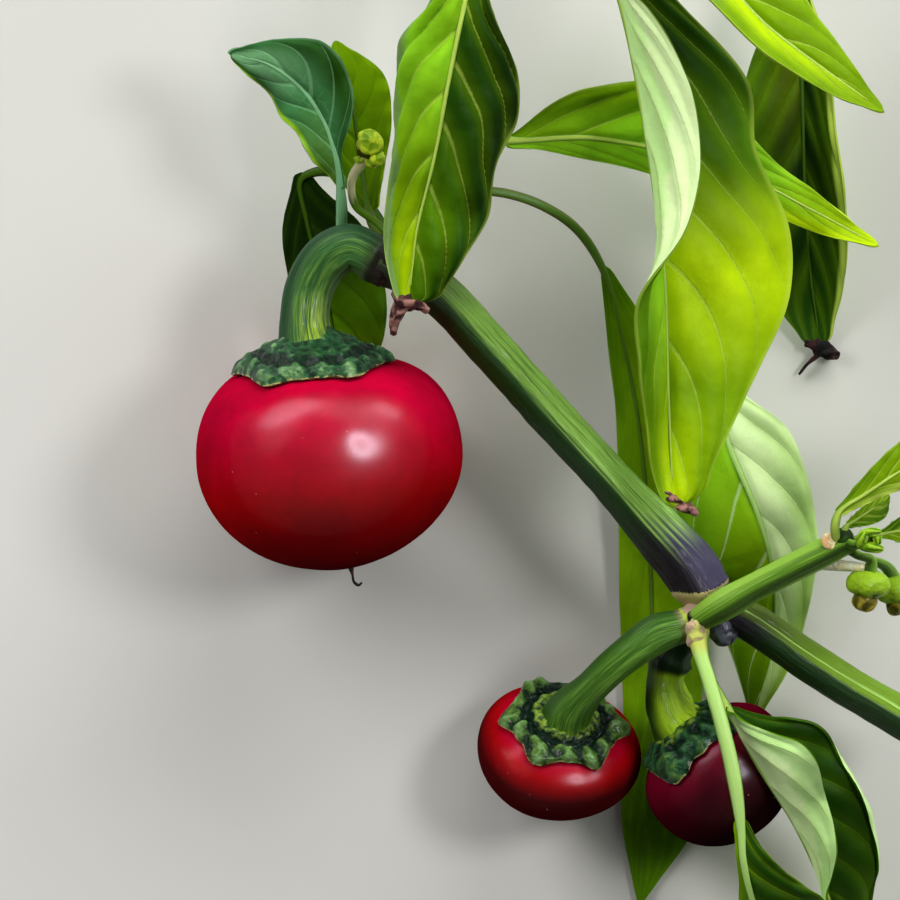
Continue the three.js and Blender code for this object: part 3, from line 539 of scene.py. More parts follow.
LEAVES = [
    leaf(
        "leaf_front_left", "leaf_yellow_green",
        [(3.6, 64.4, 24), (4.4, 67.4, 27.6), (4.2, 67.6, 31)],
        [(3.6, 66.2, 33.4), (2, 58.2, 35), (0, 48.6, 34.4), (-1.8, 38.7, 32.6), (-3.9, 30.6, 30.8),
         (-5, 22.6, 29.6), (-5.2, 18.9, 29)],
        half([0.6, 3.4, 9.6, 11, 8.6, 9.2, 6.6, 3.8], [0, -10, -12, -12, -10, -8, -6, 0],
             [0, -30, -40, -40, -30, -25, -10, 0]),
        half([0.6, 5, 10.4, 9.8, 7.4, 5.4, 4, 1.8], [0, -8, -12, -12, -12, -10, -6, 0],
             [0, -60, -72, -72, -60, -40, -20, 0]),
        dict(left="middle deep deep middle middle", left_out="deep shade shade deep deep",
             right="fresh lime fresh sunlit", right_out="lime lime fresh fresh",
             right_edge="grey_under", under="grey_under"),
        ripple=0.5, pucker=1.2, edge_from=0.66, patchy=0.7),
    leaf(
        "leaf_front_right", "leaf_yellow_green",
        [(15.4, 74.2, 25.2), (17.6, 74.2, 28.4), (19, 71.4, 31.2)],
        [(19.5, 67.6, 32.4), (22.3, 57, 32.8), (24.8, 44, 32.6), (26.7, 31, 32), (27.9, 20, 31.2),
         (28.2, 8, 30.2), (28.4, -1, 29.4), (29.4, -7.4, 28.8)],
        half([0.7, 7.4, 15.4, 15.2, 18, 17.4, 12.6, 7.8, 3.8], [0, 0, -4, -6, -8, -8, -6, -4, 0],
             [0, -20, -34, -34, -30, -30, -25, -15, 0]),
        half([0.7, 6, 8.4, 8.7, 8.4, 7.8, 6.6, 3.6, 1.8], [20, 80, 106, 104, 76, 44, 46, 30, 0],
             [40, 146, 168, 172, 148, 72, 60, 45, 0]),
        dict(left="deep deep middle sunlit fresh sunlit",
             left_out="shade deep middle sunlit fresh fresh",
             right="deep deep middle lime fresh sunlit", right_out="deep deep middle middle fresh",
             under="mint", under_in="strip"),
        ripple=0.3, pucker=0.6, side_veins=7),
    leaf(
        "leaf_top_right", "leaf_yellow_green",
        [(8.6, 70.8, 24.8), (10, 76.4, 29.6), (14.6, 78.6, 35)],
        [(20.4, 76.4, 38.4), (28.4, 68.2, 40.4), (37.1, 58.2, 40.4), (42.1, 53.2, 39.8),
         (46.6, 50, 39), (51.1, 46.8, 38.2), (55.8, 43.7, 37.4)],
        half([0.7, 5, 7.6, 7.8, 6, 3.2, 0.5], [0, -4, -8, -8, -8, -6, 0],
             [0, -20, -30, -30, -25, -15, 0]),
        half([0.7, 3.4, 4.8, 4.4, 3.6, 2.6, 0.5], [0, 30, 36, 36, 32, 20, 0],
             [0, 44, 50, 50, 40, 30, 0]),
        dict(left="middle fresh fresh", right="fresh sunlit fresh", right_out="strip fresh fresh"),
        ripple=0.3),
    leaf(
        "leaf_back_right", "leaf_deep_green",
        [(33.4, 73.9, 24.5), (37.8, 72.6, 20.4), (43, 68.4, 17.2)],
        [(45.6, 62.4, 14.6), (46, 51, 12.4), (46.4, 38, 9.4), (47, 27, 5.8), (48, 19, 2.4),
         (48.8, 13.6, 1.2)],
        half([0.7, 3.6, 5.4, 6.6, 6.4, 4.2, 1.6], [0, 6, 10, 10, 8, 8, 0],
             [0, 30, 60, 60, 50, 20, 0]),
        half([0.7, 6.4, 8.8, 9.4, 8.6, 6, 1.8], [0, 10, 12, 12, 12, 8, 0]),
        dict(left="shade shade deep", left_out="olive olive deep", right="bronze shade deep",
             right_out="olive olive deep", left_edge="rib", veins="olive", under_in="fresh",
             rib="dark"),
        ripple=0.4, edge_from=0.76),
    leaf(
        "leaf_crossing", "leaf_yellow_green",
        [(0.3, 39.8, 22), (3.2, 41.2, 21.2), (5.4, 40.4, 21)],
        [(7.2, 40, 21.2), (14.3, 40.8, 21.8), (24.7, 39.6, 21.6), (34, 37.4, 20.8), (43, 33.6, 19.6),
         (50, 29.6, 18.4), (55.8, 26.8, 17.6)],
        half([0.7, 6.2, 8.8, 7.2, 3.4, 2, 0.5], [0, 6, 6, 6, 6, 4, 0], [0, 16, 20, 20, 16, 8, 0]),
        half([0.7, 2.8, 3.6, 4.4, 3.6, 2.4, 0.5], [0, -24, -30, -28, -20, -10, 0]),
        dict(left="fresh lime lime sunlit", left_out="middle fresh lime sunlit",
             right="lime lime lime sunlit", right_out="lime lime sunlit sunlit"),
        ripple=0.3, sweep=0.2),
    leaf(
        "leaf_back_long", "leaf_deep_green",
        [(-2.2, 33.6, 22), (2, 33.8, 20), (7.4, 33.4, 18.4), (12.6, 31.6, 16.6), (17, 28.4, 14.4)],
        [(20.2, 24.2, 11.8), (22.5, 14.7, 8.2), (24.4, 6, 5.6), (25.7, -4.3, 3.4), (26.4, -16, 1.8),
         (26.6, -30, 0.9), (26, -44, 0.7), (25, -60.2, 0.7)],
        half([0.7, 4.4, 6, 7.2, 7.2, 6.8, 6.6, 6.4, 0.6], [0, 20, 20, 14, 6, 2, 0, 0, 0]),
        half([0.7, 2, 3, 3.8, 4.2, 4, 3.4, 3, 0.5], [0, 20, 16, 12, 6, 2, 0, 0, 0]),
        dict(left="middle fresh fresh middle middle", right="middle fresh fresh middle middle",
             right_out="middle fresh middle", veins="fresh", under="middle", rib="dull"),
        sweep=0.1, petiole_radius=0.62, pucker=0.2, side_veins=8, margin_wave=0.05),
    leaf(
        "leaf_back_pale", "leaf_pale_green",
        [(33.6, -18.6, 19), (32.4, -15.6, 13.4), (29.8, -9, 9.4), (28.8, -1, 10.4), (30, 4.6, 13)],
        [(34, 10.6, 14.6), (35.9, 2.2, 14.8), (38.7, -4.9, 13.6), (42, -13.5, 11.2),
         (42.6, -24.7, 6.4), (39.9, -36, 2.2)],
        half([0.7, 7.4, 8.2, 6.6, 4.4, 2.6, 0.6], [0, -8, -10, -10, -8, -4, 0]),
        half([0.7, 7, 10.4, 10.8, 9, 5, 0.6], [0, -4, -6, -6, -4, 0, 0]),
        dict(left="mint mint pale", left_out="mint pale fresh", right="lime fresh middle",
             right_out="lime middle middle", veins="mint", rib="pale"),
        sweep=0.1, side_veins=5, patchy=0.12),
    leaf(
        "leaf_upper_left", "leaf_blue_green",
        [(-7.6, 24.4, 22.4), (-9.8, 24.8, 18.6), (-12.6, 25.8, 17.2), (-14, 28.6, 18),
         (-14.1, 31.4, 19.8)],
        [(-14.2, 34.2, 21.4), (-15.2, 39.4, 23.2), (-17.2, 44.2, 24), (-20, 47.6, 24.2),
         (-23.6, 50.1, 23.6), (-28.6, 51.4, 22.4)],
        half([0.6, 3.4, 4.2, 4.8, 3.8, 0.6], [0, 16, 16, -10, -30, 0], [0, 20, 10, -50, -50, 0]),
        half([0.6, 1.2, 5.2, 6.8, 3.4, 0.6], [0, 16, 20, 18, 10, 0]),
        dict(left="petiole bluish vein_blue", left_out="petiole bluish deep",
             right="bluish bluish vein_blue", right_out="bluish deep bluish", left_edge="fresh",
             veins="vein_blue", under="vein_blue", rib="blue"),
        ripple=0.4, sweep=0.1, side_veins=5, net=0.13, halo=0.0),
    leaf(
        "leaf_upper_left_back", "leaf_yellow_green",
        [(-5.6, 27.6, 22.2), (-8, 28.4, 17.8), (-9.8, 29.2, 16)],
        [(-10.6, 31, 15.4), (-11.6, 37, 15.6), (-12.4, 43, 16.4), (-13.6, 49, 17), (-15, 53.4, 17)],
        half([0.6, 3.6, 4.6, 3.8, 0.5], [0, 6, 6, 6, 0]),
        half([1.4, 3.2, 4.8, 4.8, 0.5], [0, -6, -8, -8, 0]),
        dict(left="olive fresh fresh", left_out="olive middle fresh", right="olive fresh fresh",
             right_edge="fresh", veins="fresh", under="middle", rib="dull"),
        sweep=0.1, pucker=0.2, side_veins=5),
    leaf(
        "leaf_behind_stalk", "leaf_deep_green",
        [(-5.4, 22.8, 22.6), (-6.6, 25, 14.6), (-10.4, 31.6, 10.2), (-15.4, 36.4, 10)],
        [(-19.6, 36.4, 9.4), (-18.8, 30, 8.2), (-16.8, 22, 6.6), (-15, 14, 4.6), (-14.2, 6.6, 2.2)],
        half([1.2, 6.8, 8.2, 6.4, 0.8], [0, 10, 12, 8, 0]),
        half([0.9, 3.6, 4.2, 3.8, 0.8], [0, 6, 6, 6, 0]),
        dict(left="shade shade middle fresh", right="shade shade", veins="deep", under="middle",
             rib="dark"),
        sweep=0.0, side_veins=5, halo=0.04, patchy=0.6),
    leaf(
        "leaf_lower_hanging", "leaf_deep_green",
        [(33, -21.2, 21), (32.2, -24.8, 24.2), (33.6, -30, 26), (35.1, -35.1, 26.8),
         (36.8, -42.4, 26.8)],
        [(37.6, -47.6, 26.4), (38.1, -53.6, 25.4), (39.6, -59.4, 22.4), (42, -65, 17),
         (44.4, -69.6, 10)],
        half([0.9, 5.2, 8.8, 6.4, 0.6], [0, -2, -2, -6, 0]),
        half([0.9, 1, 2.8, 3.2, 0.6], [0, -30, -30, -20, 0]),
        dict(left="deep deep", left_out="deep deep middle", right="fresh middle deep",
             veins="fresh", rib="pale"),
        sweep=0.3, petiole_radius=0.95, side_veins=5),
    leaf(
        "leaf_lower_curled", "leaf_pale_green",
        [(33.8, -21, 20.4), (32.9, -25.2, 21.2), (33.8, -29.8, 21.8)],
        [(36.1, -33.4, 22.2), (38.6, -38.4, 22), (42.2, -44.4, 20.4), (46, -50.6, 17),
         (48.8, -57, 12.6), (51.6, -63.6, 7.6), (53.4, -68.6, 3.4)],
        half([0.8, 9.6, 11, 10.6, 8.8, 4.4, 0.5], [0, 0, -4, -6, -8, -4, 0],
             [0, -10, -10, 0, -10, -10, 0], [0, 90, 175, 175, 190, 120, 0]),
        half([1.2, 8.8, 7.2, 5.2, 3.6, 2.2, 0.5], [70, 98, 104, 90, 50, 10, 0],
             [120, 166, 176, 160, 100, 20, 0]),
        dict(left="deep deep", left_out="deep deep middle", right="middle middle", veins="middle",
             under="strip", under_in="mint"),
        ripple=0.8, waves=4, sweep=0.04, halo=0.1),
    leaf(
        "leaf_tip_long", "leaf_yellow_green",
        [(50.4, -12.4, 27), (49.8, -10.2, 29.4)],
        [(49.8, -8.4, 30.2), (53.8, -5.6, 31), (58.5, -2.5, 31), (64, 0.6, 29.4), (69.2, 2.6, 26.6)],
        half([0.6, 2.2, 3.4, 2.8, 0.5], [0, 10, 14, 10, 0]),
        half([0.6, 1.6, 3, 2.6, 0.5], [0, -20, -20, -14, 0]),
        dict(left="fresh fresh", left_out="middle fresh fresh", right="fresh fresh",
             right_out="rib rib"),
        petiole_radius=0.6, across=36, lengthwise=80),
    leaf(
        "leaflet_tip_pointed", "leaf_yellow_green",
        [(51, -12, 27.2), (51, -10.6, 28)],
        [(51.3, -9.9, 28.2), (53.2, -8.6, 28.4), (55.2, -7.2, 28), (56.8, -5.7, 27.2)],
        half([0.5, 0.9, 1, 0.4], [0, 10, 10, 0]),
        half([0.5, 1.6, 1.9, 0.4], [0, -12, -12, 0]),
        dict(left="fresh fresh", right="middle fresh", right_out="middle middle"),
        petiole_radius=0.5, across=20, lengthwise=36, side_veins=4, pucker=0.1),
    leaf(
        "leaflet_tip_right", "leaf_yellow_green",
        [(51.4, -11.8, 26.8), (53.8, -11.4, 25.6)],
        [(55.6, -11, 25.2), (59, -10.4, 25.2), (62.4, -10.4, 24.6), (65.6, -11.4, 23)],
        half([0.5, 2.2, 2.4, 0.5], [0, 8, 8, 0]),
        half([0.5, 2.2, 2.6, 0.5], [0, -12, -12, 0]),
        dict(left="middle middle", right="fresh fresh"),
        **LEAFLET),
    leaf(
        "leaflet_end_left", "leaf_yellow_green",
        [(36.2, 72.7, 24.3), (36.6, 74.6, 26)],
        [(37.6, 75.4, 26.8), (40.6, 78.4, 28), (44.6, 80.2, 27.8), (48.6, 80.4, 26.2)],
        half([0.5, 2.6, 3, 0.5], [0, 12, 12, 0]),
        half([0.5, 2.6, 3, 0.5], [0, -12, -12, 0]),
        dict(left="fresh fresh", right="middle fresh"),
        **LEAFLET),
    leaf(
        "leaflet_end_right", "leaf_yellow_green",
        [(38.6, 71.5, 24.1), (40, 71.6, 26.4)],
        [(40.8, 71.6, 27.6), (44.4, 72.2, 29), (48.4, 71.8, 28.8), (52, 70.2, 27)],
        half([0.5, 2.4, 2.6, 0.5], [0, 12, 12, 0]),
        half([0.5, 2.4, 2.6, 0.5], [0, -12, -12, 0]),
        dict(left="fresh fresh", right="middle fresh"),
        **LEAFLET),
]

SOLID_LEAF_SHARE = 0.0105
FOLD_STARTS_AT = 4
BASE_ROUNDING = 0.02
TIP_ROUNDING = 0.035
EDGE_FADE = 0.13
GROOVE_DEPTH = 0.25
GROOVE_WIDTH = 0.7
PUCKER_CELL = 2.6
PUCKER_REACH = 0.7


def vein_gap(plan, x, s):
    """How far a spot lies from the nearest side vein: 0 on it, 1 midway between two."""
    climb = plan.climb * abs(x) * (VEIN_RISE + VEIN_BEND * abs(x))
    phase = plan.side_veins * (s - climb) + (0.5 if x > 0 else 0)
    return 1 - abs(2 * (phase % 1) - 1)


def pucker_height(plan, x, s, across_mm, along_mm):
    """How far the blade stands up between its veins, in mm."""
    u = abs(x)
    gap = vein_gap(plan, x, s)
    between = 1 - (1 - gap) ** 2
    inward = min(u / 0.12, 1) * eased(u, 1.02, 0.8)
    spot = Vector((across_mm / PUCKER_CELL, along_mm / PUCKER_CELL, plan.side_veins))
    cells = 1 - min(noise.voronoi(spot)[0][0] / PUCKER_REACH, 1) ** 2
    swell = noise.noise(Vector((across_mm * 0.22, along_mm * 0.16, 3.7)))
    soft = between + 0.1 * cells + 0.8 * swell * eased(u, 0, 0.4)
    return plan.pucker * inward * soft


def rounded_end(s, reach):
    """The share of its width that a blade has near an end."""
    return math.sqrt(max(1 - max(1 - s / reach, 0) ** 2, 0))


def blade_mesh(plan, thickness):
    """A leaf's blade. Each half leaves the midrib at one angle and ends at its margin at another."""
    rib = Route(plan.rib)
    solid = SOLID_LEAF_SHARE * rib.length

    def row_of(s):
        heading = rib.heading(s)
        facing = upright(heading)
        leftward = facing.cross(heading)
        sides = []
        for part, side in ((plan.left, leftward), (plan.right, -leftward)):
            width = along(part.width, s)
            width *= rounded_end(s, BASE_ROUNDING) * rounded_end(1 - s, TIP_ROUNDING)
            open_share = eased(width, solid, FOLD_STARTS_AT * solid)
            start = math.radians(along(part.start, s)) * open_share
            end = math.radians(along(part.end, s)) * open_share
            roll = math.radians(along(part.roll, s)) * open_share
            sides.append((side, width, start, end, roll))
        return SimpleNamespace(middle=rib.at(s), heading=heading, facing=facing, sides=sides)

    def place(u, s, row):
        x = 2 * u - 1
        share = abs(x)
        side, width, start, end, roll = row.sides[1 if x > 0 else 0]
        out, up, here = bent(start, end, roll, share)
        turn = math.copysign(2, x)
        wave = plan.ripple * share ** 2 * math.sin(2 * math.pi * plan.waves * s + turn)
        fine = math.sin(2 * math.pi * plan.waves * 2.7 * s + 3 * turn)
        wave += plan.margin_wave * share ** 4 * fine * eased(s, 0, 0.1) * eased(s, 1, 0.9)
        sweep = plan.sweep * width * share * (1 - s)
        normal = row.facing * math.cos(here) - side * math.sin(here)
        fade = eased(width, 1, 8)
        lift = pucker_height(plan, x, s, x * width, s * rib.length) * fade
        groove = -GROOVE_DEPTH * hump(share * width, GROOVE_WIDTH) * fade
        point = (row.middle + side * (width * out) + row.facing * (width * up + wave)
                 + row.heading * sweep + normal * (lift + groove + 0.5 * thickness))
        return point, Vector((x, s, x * width))

    mesh = drawn_grid(plan.across, plan.lengthwise, row_of, place)
    skin = mesh.verts.layers.float_vector["skin"]
    lowered = {tuple(vert[skin]): vert.co - vert.normal * thickness for vert in mesh.verts}
    under = bmesh.ops.solidify(mesh, geom=mesh.faces[:], thickness=thickness)["geom"]
    for part in under:
        if isinstance(part, bmesh.types.BMFace):
            part.material_index = 1
            for vert in part.verts:
                vert.co = lowered[tuple(vert[skin])]
    return mesh


def rib_mesh(plan, petiole_scale):
    """The petiole, which runs on as the midrib and thins out towards the tip."""
    blade = Route(plan.rib)
    inside = [blade.at(s) for s in (0.03, 0.2, 0.4, 0.6, 0.8, 0.95)]
    route = Route([*plan.petiole, *inside])
    radius = plan.petiole_radius * petiole_scale
    start = route.share_near(blade.at(0))

    def radius_of(share, angle, middle):
        foot = 1 + 0.4 * eased(share / start, 0.3, 0.05)
        rib_share = max(share - start, 0) / (1 - start)
        narrowed = 1 - 0.42 * eased(share, start * 0.8, start + 0.06)
        size = radius * foot * narrowed * (1 - 0.62 * rib_share)
        channel = 0.16 * hump(angle - math.pi / 2, 0.5) * (1 - rib_share)
        return size * (1 - channel + 0.05 * fibre(angle, share * route.length, 2.5, 4))

    return closed_tube(route, radius_of, around=20, lengthwise=130)


def spread(names):
    """Stops for a ramp along a blade, from its base to its tip."""
    names = names.split()
    return [(i / (len(names) - 1), name) for i, name in enumerate(names)]


def vein_outputs(t, plan):
    """The pattern of veins, set up for one leaf."""
    return t.group("leaf_veins", side_veins=float(plan.side_veins), climb=plan.climb,
                   length=Route(plan.rib).length)


# What darker patches and fine mottling do to the colours of a leaf's two sides and of the stem
UPPER_PATCH = (0.55, 0.62, 0.5)
UPPER_MOTTLE = (0.6, 0.66, 0.45)
UNDER_PATCH = (0.66, 0.76, 0.5)
UNDER_MOTTLE = (0.7, 0.76, 0.6)
STEM_DIMMING = (0.44, 0.47, 0.36)


def upper_material(plan):
    """The upper side of a blade: colours by half and along it, pale veins and margin."""
    t = Finish(f"upper_{plan.node}", 0.46, specular=0.03)
    veins = vein_outputs(t, plan)
    halves = []
    for half_name in ("left", "right"):
        inner = t.ramp(veins["Along"], *spread(plan.look[half_name]))
        outer = t.ramp(veins["Along"], *spread(plan.look[half_name + "_out"]))
        halves.append(t.mix(t.eased(veins["Across"], 0.25, 0.8), inner, outer))
    body = t.mix(veins["Right"], *halves)
    patches = t.mottle(6.0, 0.3, 0.7)
    fine = t.mottle(1.6, 0.35, 0.65)
    body = t.mix(t.times(patches, plan.patchy), body, UPPER_PATCH, "MULTIPLY")
    body = t.mix(t.times(fine, 0.12), body, UPPER_MOTTLE, "MULTIPLY")
    body = t.mix(t.times(veins["Halo"], plan.halo), body, "fresh")
    vein = plan.look["veins"]
    net = t.times(veins["Net"], t.eased(veins["Across"], 0.6, 0.1, 0, plan.net))
    body = t.mix(net, body, vein)
    left_half = t.minus(1, veins["Right"])
    for share, half_name in ((left_half, "left"), (veins["Right"], "right")):
        if half_name + "_edge" in plan.look:
            edge = t.eased(veins["Across"], plan.edge_from, plan.edge_from + EDGE_FADE)
            body = t.mix(t.times(share, edge), body, plan.look[half_name + "_edge"])
    body = t.mix(t.times(veins["Veins"], plan.vein_share), body, vein)
    body = t.mix(t.times(veins["Margin"], 0.3), body, vein)
    height = t.minus(t.times(fine, 0.3), t.times(veins["Net"], 0.05))
    return t.painted(body, t.minus(height, t.times(veins["Veins"], 0.6)))


def under_material(plan):
    """The underside of a blade: paler and duller, with raised veins and an uneven inner part."""
    t = Finish(f"under_{plan.node}", 0.6)
    veins = vein_outputs(t, plan)
    outer = plan.look["under"]
    inner = plan.look.get("under_in", outer)
    patches = t.mottle(5.0, 0.3, 0.7)
    fine = t.mottle(1.2, 0.35, 0.65)
    ragged = t.scaled(patches, 0.2, t.times(fine, 0.03))
    # The inner part has its own colour; on the front right leaf its darker green is painted shade where
    # the folded half turns away from the light.
    body = t.mix(t.eased(t.plus(veins["Across"], ragged), 0.56, 0.7), inner, outer)
    body = t.mix(t.times(patches, 0.18), body, UNDER_PATCH, "MULTIPLY")
    body = t.mix(t.times(fine, 0.1), body, UNDER_MOTTLE, "MULTIPLY")
    body = t.mix(t.times(veins["Veins"], 0.25), body, "rib")
    return t.painted(body, t.plus(t.times(fine, 0.3), veins["Veins"]))


def rib_material(name, low, middle, high, foot=None, foot_length=0.0):
    """Petioles and midribs, brightest along the top as painted light, partly the midrib's own pale
    colour. A foot of a length can have its own colour.
    """
    t = Finish(name, 0.42, coat=0.1, bump=0.05)
    fibres = t.group("stem_fibres", fineness=2.0, stretch=0.3)
    # Lighter on top and darker at the sides: painted light and shade.
    level = t.scaled(fibres["Streaks"], 0.6, t.minus(fibres["Up"], 0.3))
    body = t.ramp(level, (0.05, low), (0.6, middle), (0.98, high))
    if foot:
        reach = t.scaled(fibres["Streaks"], 2, fibres["Walked"])
        body = t.mix(t.eased(reach, foot_length + 2, foot_length), body, foot)
    return t.painted(body, fibres["Threads"])


def withered_material(name, light, dark):
    """Shrivelled tissue in two browns."""
    t = Finish(name, 0.8, bump=0.2)
    patches = t.mottle(1.3, 0.42, 0.58)
    return t.painted(t.mix(patches, dark, light), patches)


def crumpled(points, radii):
    """A shrivelled scrap of leaf along a short route."""
    route = Route(points)

    def radius_of(share, angle, middle):
        spot = middle * 0.9 + circled(angle) * 1.3
        return along(radii, share) * (1 + 0.75 * noise.noise(spot) - 0.25 * math.cos(2 * angle))

    return closed_tube(route, radius_of, around=36, lengthwise=60, cap=0.4)


# Shrivelled tips: the finish of each, and the points and radii of its scraps
WITHERED = {
    "leaf_front_left": ("dried", [
        ([(-7.3, 20.4, 28.4), (-6, 19.3, 28.9), (-4.4, 18.8, 29), (-2.9, 18, 28.8)],
         [0.5, 0.95, 0.8, 0.4]),
        ([(-6, 19.2, 28.6), (-7, 17.4, 28), (-7.4, 15, 27.4)], [0.9, 0.8, 0.45])]),
    "leaf_front_right": ("dried", [
        ([(27.3, -5.2, 28.6), (28.8, -6.3, 28.5), (30.4, -7.3, 28.3), (31.9, -8.2, 28)],
         [0.5, 0.85, 0.85, 0.5])]),
    "leaf_back_right": ("black", [
        ([(47, 14.2, 1.7), (49, 13.4, 1.6), (51, 12.4, 1.5)], [0.5, 1.1, 0.6]),
        ([(49.2, 13, 1.5), (47.4, 11.6, 1.2), (46, 10, 1)], [0.5, 0.26, 0.16])]),
}


def build_leaf(plan, sizes, skins):
    """A leaf in one piece: blade, rib with petiole, and shrivelled scraps where it has them."""
    parts = [
        finished(blade_mesh(plan, sizes.leaf_thickness / MM), f"blade_{plan.node}",
                 [skins["upper"], skins["under"]]),
        finished(rib_mesh(plan, sizes.petiole_scale), f"rib_{plan.node}",
                 [skins[plan.look["rib"]]])]
    tone, scraps = WITHERED.get(plan.node, ("dried", []))
    parts += [finished(crumpled(*scrap), f"scrap_{plan.node}", [skins[tone]]) for scrap in scraps]
    piece = joined(parts)
    piece.name = plan.node.replace("leaf", "green_leaf", 1)
    return placed(piece, plan.node, plan.slot)


# Fruits

FRUIT_AXIS = Vector((0, 1, 0))
FRUIT_ROUNDS = 128
FRUIT_RINGS = 88
FRUIT_COAT_IOR = 1.6
DIMPLE_WIDTH = 0.42

FRUITS = [
    SimpleNamespace(
        name="large", slot="fruit_skin_red", skin="ripe", radius=17.4, centre=(-16.1, -1, 17.4),
        axis=(-0.07, 1, 0.17), top=13.7, bottom=14.7, shoulder=0.71, flatness=0.9, base=1.08,
        dimple=2.6, lobing=0.023, lobe_phase=1.57, painted_light_fall=(0.34, 0.56, 0.9), gloss=1.0,
        calyx=SimpleNamespace(
            reach=0.47, lean=0.2, lean_at=-45, lobes=6, lobing=0.09, turn=3.66, thickness=0.9,
            crown=6.3, hollow=0.42, slope=1.6, groove=0.55, groove_at=0.64, inner=0.0,
            tones=("calyx_dark", "calyx", "calyx_lit_raised")),
        stalk=[(-17.2, 9.6, 19.2), (-18.5, 13.4, 19.7), (-18.9, 17, 19.8), (-18.2, 21.4, 19.8),
               (-15.8, 25.1, 20.9), (-12.6, 26.3, 22), (-9.4, 24.6, 22.6)],
        radii=[4.9, 3.9, 3.2, 3.1, 3.1, 3.1, 2.9], beyond=1.6, knot=None, lumps=0.0,
        tones=("stalk_dark", "stalk_blue", "stalk_light"), foot=("stalk_streak", 6.0, 13.0),
        end="joint_dark", end_length=1.8),
    SimpleNamespace(
        name="left", slot="fruit_skin_red", skin="ripe", radius=10.8, centre=(14.1, -39.7, 9.2),
        axis=(0.15, 0.72, 0.67), top=6.2, bottom=6.6, shoulder=0.8, flatness=0.9, base=1,
        dimple=1.2, lobing=0.02, lobe_phase=1.2, painted_light_fall=(0.2, 0.3, 0.45), gloss=0.35,
        calyx=SimpleNamespace(
            reach=0.7, lean=0, lean_at=0, lobes=6, lobing=0.13, turn=2.46, thickness=0.85,
            crown=1.6, hollow=0, slope=2, groove=1.0, groove_at=0.56, inner=0.35,
            tones=("calyx_dark", "calyx_green", "calyx_lit_raised")),
        stalk=[(14.8, -36.2, 12.7), (15.8, -33.8, 15.6), (18.6, -30.7, 18.9), (22.6, -27, 21.2),
               (27.2, -23.8, 21.6), (30.9, -22.6, 21.2), (33.6, -20.4, 20.6)],
        radii=[3.6, 2.9, 2.2, 2.2, 2.3, 2.5, 2.1], beyond=0.6, knot=None, lumps=0.0,
        tones=("stalk_deep", "stalk", "stalk_light"), foot=("stalk_streak", 1.0, 4.0), end="tan",
        end_length=4.0),
    SimpleNamespace(
        name="right", slot="fruit_skin_maroon", skin="dusky", radius=10.1, centre=(35.2, -42.3, 11.7),
        axis=(-0.64, 0.74, 0.2), top=7.6, bottom=9.2, shoulder=0.86, flatness=0.85, base=0.96,
        dimple=1.2, lobing=0.02, lobe_phase=0.2, painted_light_fall=(0.3, 0.46, 0.7), gloss=0.5,
        calyx=SimpleNamespace(
            reach=0.66, lean=0.46, lean_at=8, lobes=5, lobing=0.12, turn=2.44, thickness=0.8,
            crown=2.4, hollow=0, slope=2, groove=0.3, groove_at=0.55, inner=0.4,
            tones=("calyx_dark", "calyx", "calyx_green")),
        stalk=[(30.9, -37.2, 13.1), (29, -34.6, 13.7), (28.2, -31.2, 14.2), (28.7, -27.6, 15),
               (31, -24, 16.2), (33.6, -20.2, 18.4)],
        radii=[4, 3.3, 2.6, 2.1, 2, 1.8], beyond=1.0, knot=(28.7, -27.6, 15), lumps=0.24,
        tones=("stalk_deep", "stalk_yellow", "stalk_streak"), foot=("stalk_streak", 3.0, 8.0),
        # The right stalk's end takes the stem's dark, which is partly painted shade near the node.
        end="stem_dark", end_length=10.2),
]


def skin_point(plan, phi, theta):
    """A point of a fruit's skin about its own axis, +Y. phi runs from the stalk to the far end."""
    lobes = 1 + plan.lobing * math.cos(3 * theta + plan.lobe_phase) * math.sin(phi)
    cosine = math.cos(phi)
    fullness = plan.shoulder if cosine > 0 else plan.base
    radius = plan.radius * max(math.sin(phi), 0) ** fullness * lobes
    height = plan.top * max(cosine, 0) ** plan.flatness + plan.bottom * min(cosine, 0)
    if cosine > 0:
        height -= plan.dimple * hump(radius, DIMPLE_WIDTH * plan.radius)
    return Vector((radius * math.sin(theta), height, radius * math.cos(theta)))


def skin_normal(plan, phi, theta):
    """The direction straight out of a fruit's skin."""
    step = 0.02
    if phi < step or phi > math.pi - step:
        return Vector((0, math.copysign(1, math.cos(phi)), 0))
    down = skin_point(plan, phi + step, theta) - skin_point(plan, phi - step, theta)
    around = skin_point(plan, phi, theta + step) - skin_point(plan, phi, theta - step)
    return down.cross(around).normalized()


def fruit_mesh(plan):
    """A lobed fruit with shallow furrows that start at the stalk."""
    mesh = bmesh.new()
    bmesh.ops.create_uvsphere(mesh, u_segments=FRUIT_ROUNDS, v_segments=FRUIT_RINGS, radius=1)
    skin = mesh.verts.layers.float_vector.new("skin")
    for vert in mesh.verts:
        phi = math.acos(min(max(vert.co.z, -1), 1))
        theta = math.atan2(vert.co.x, vert.co.y)
        vert[skin] = circled(theta, 1, phi / math.pi)
        spot = skin_point(plan, phi, theta)
        wobble = noise.noise(spot * 0.16 + Vector(plan.centre)) * 0.1
        furrow = -0.16 * math.cos(3 * theta + plan.lobe_phase + 0.4) ** 8 * eased(phi, 1.5, 0.5)
        vert.co = spot + skin_normal(plan, phi, theta) * (wobble + furrow)
    bmesh.ops.recalc_face_normals(mesh, faces=mesh.faces)
    bmesh.ops.transform(mesh, matrix=seat(FRUIT_AXIS, plan.axis, plan.centre), verts=mesh.verts)
    return mesh


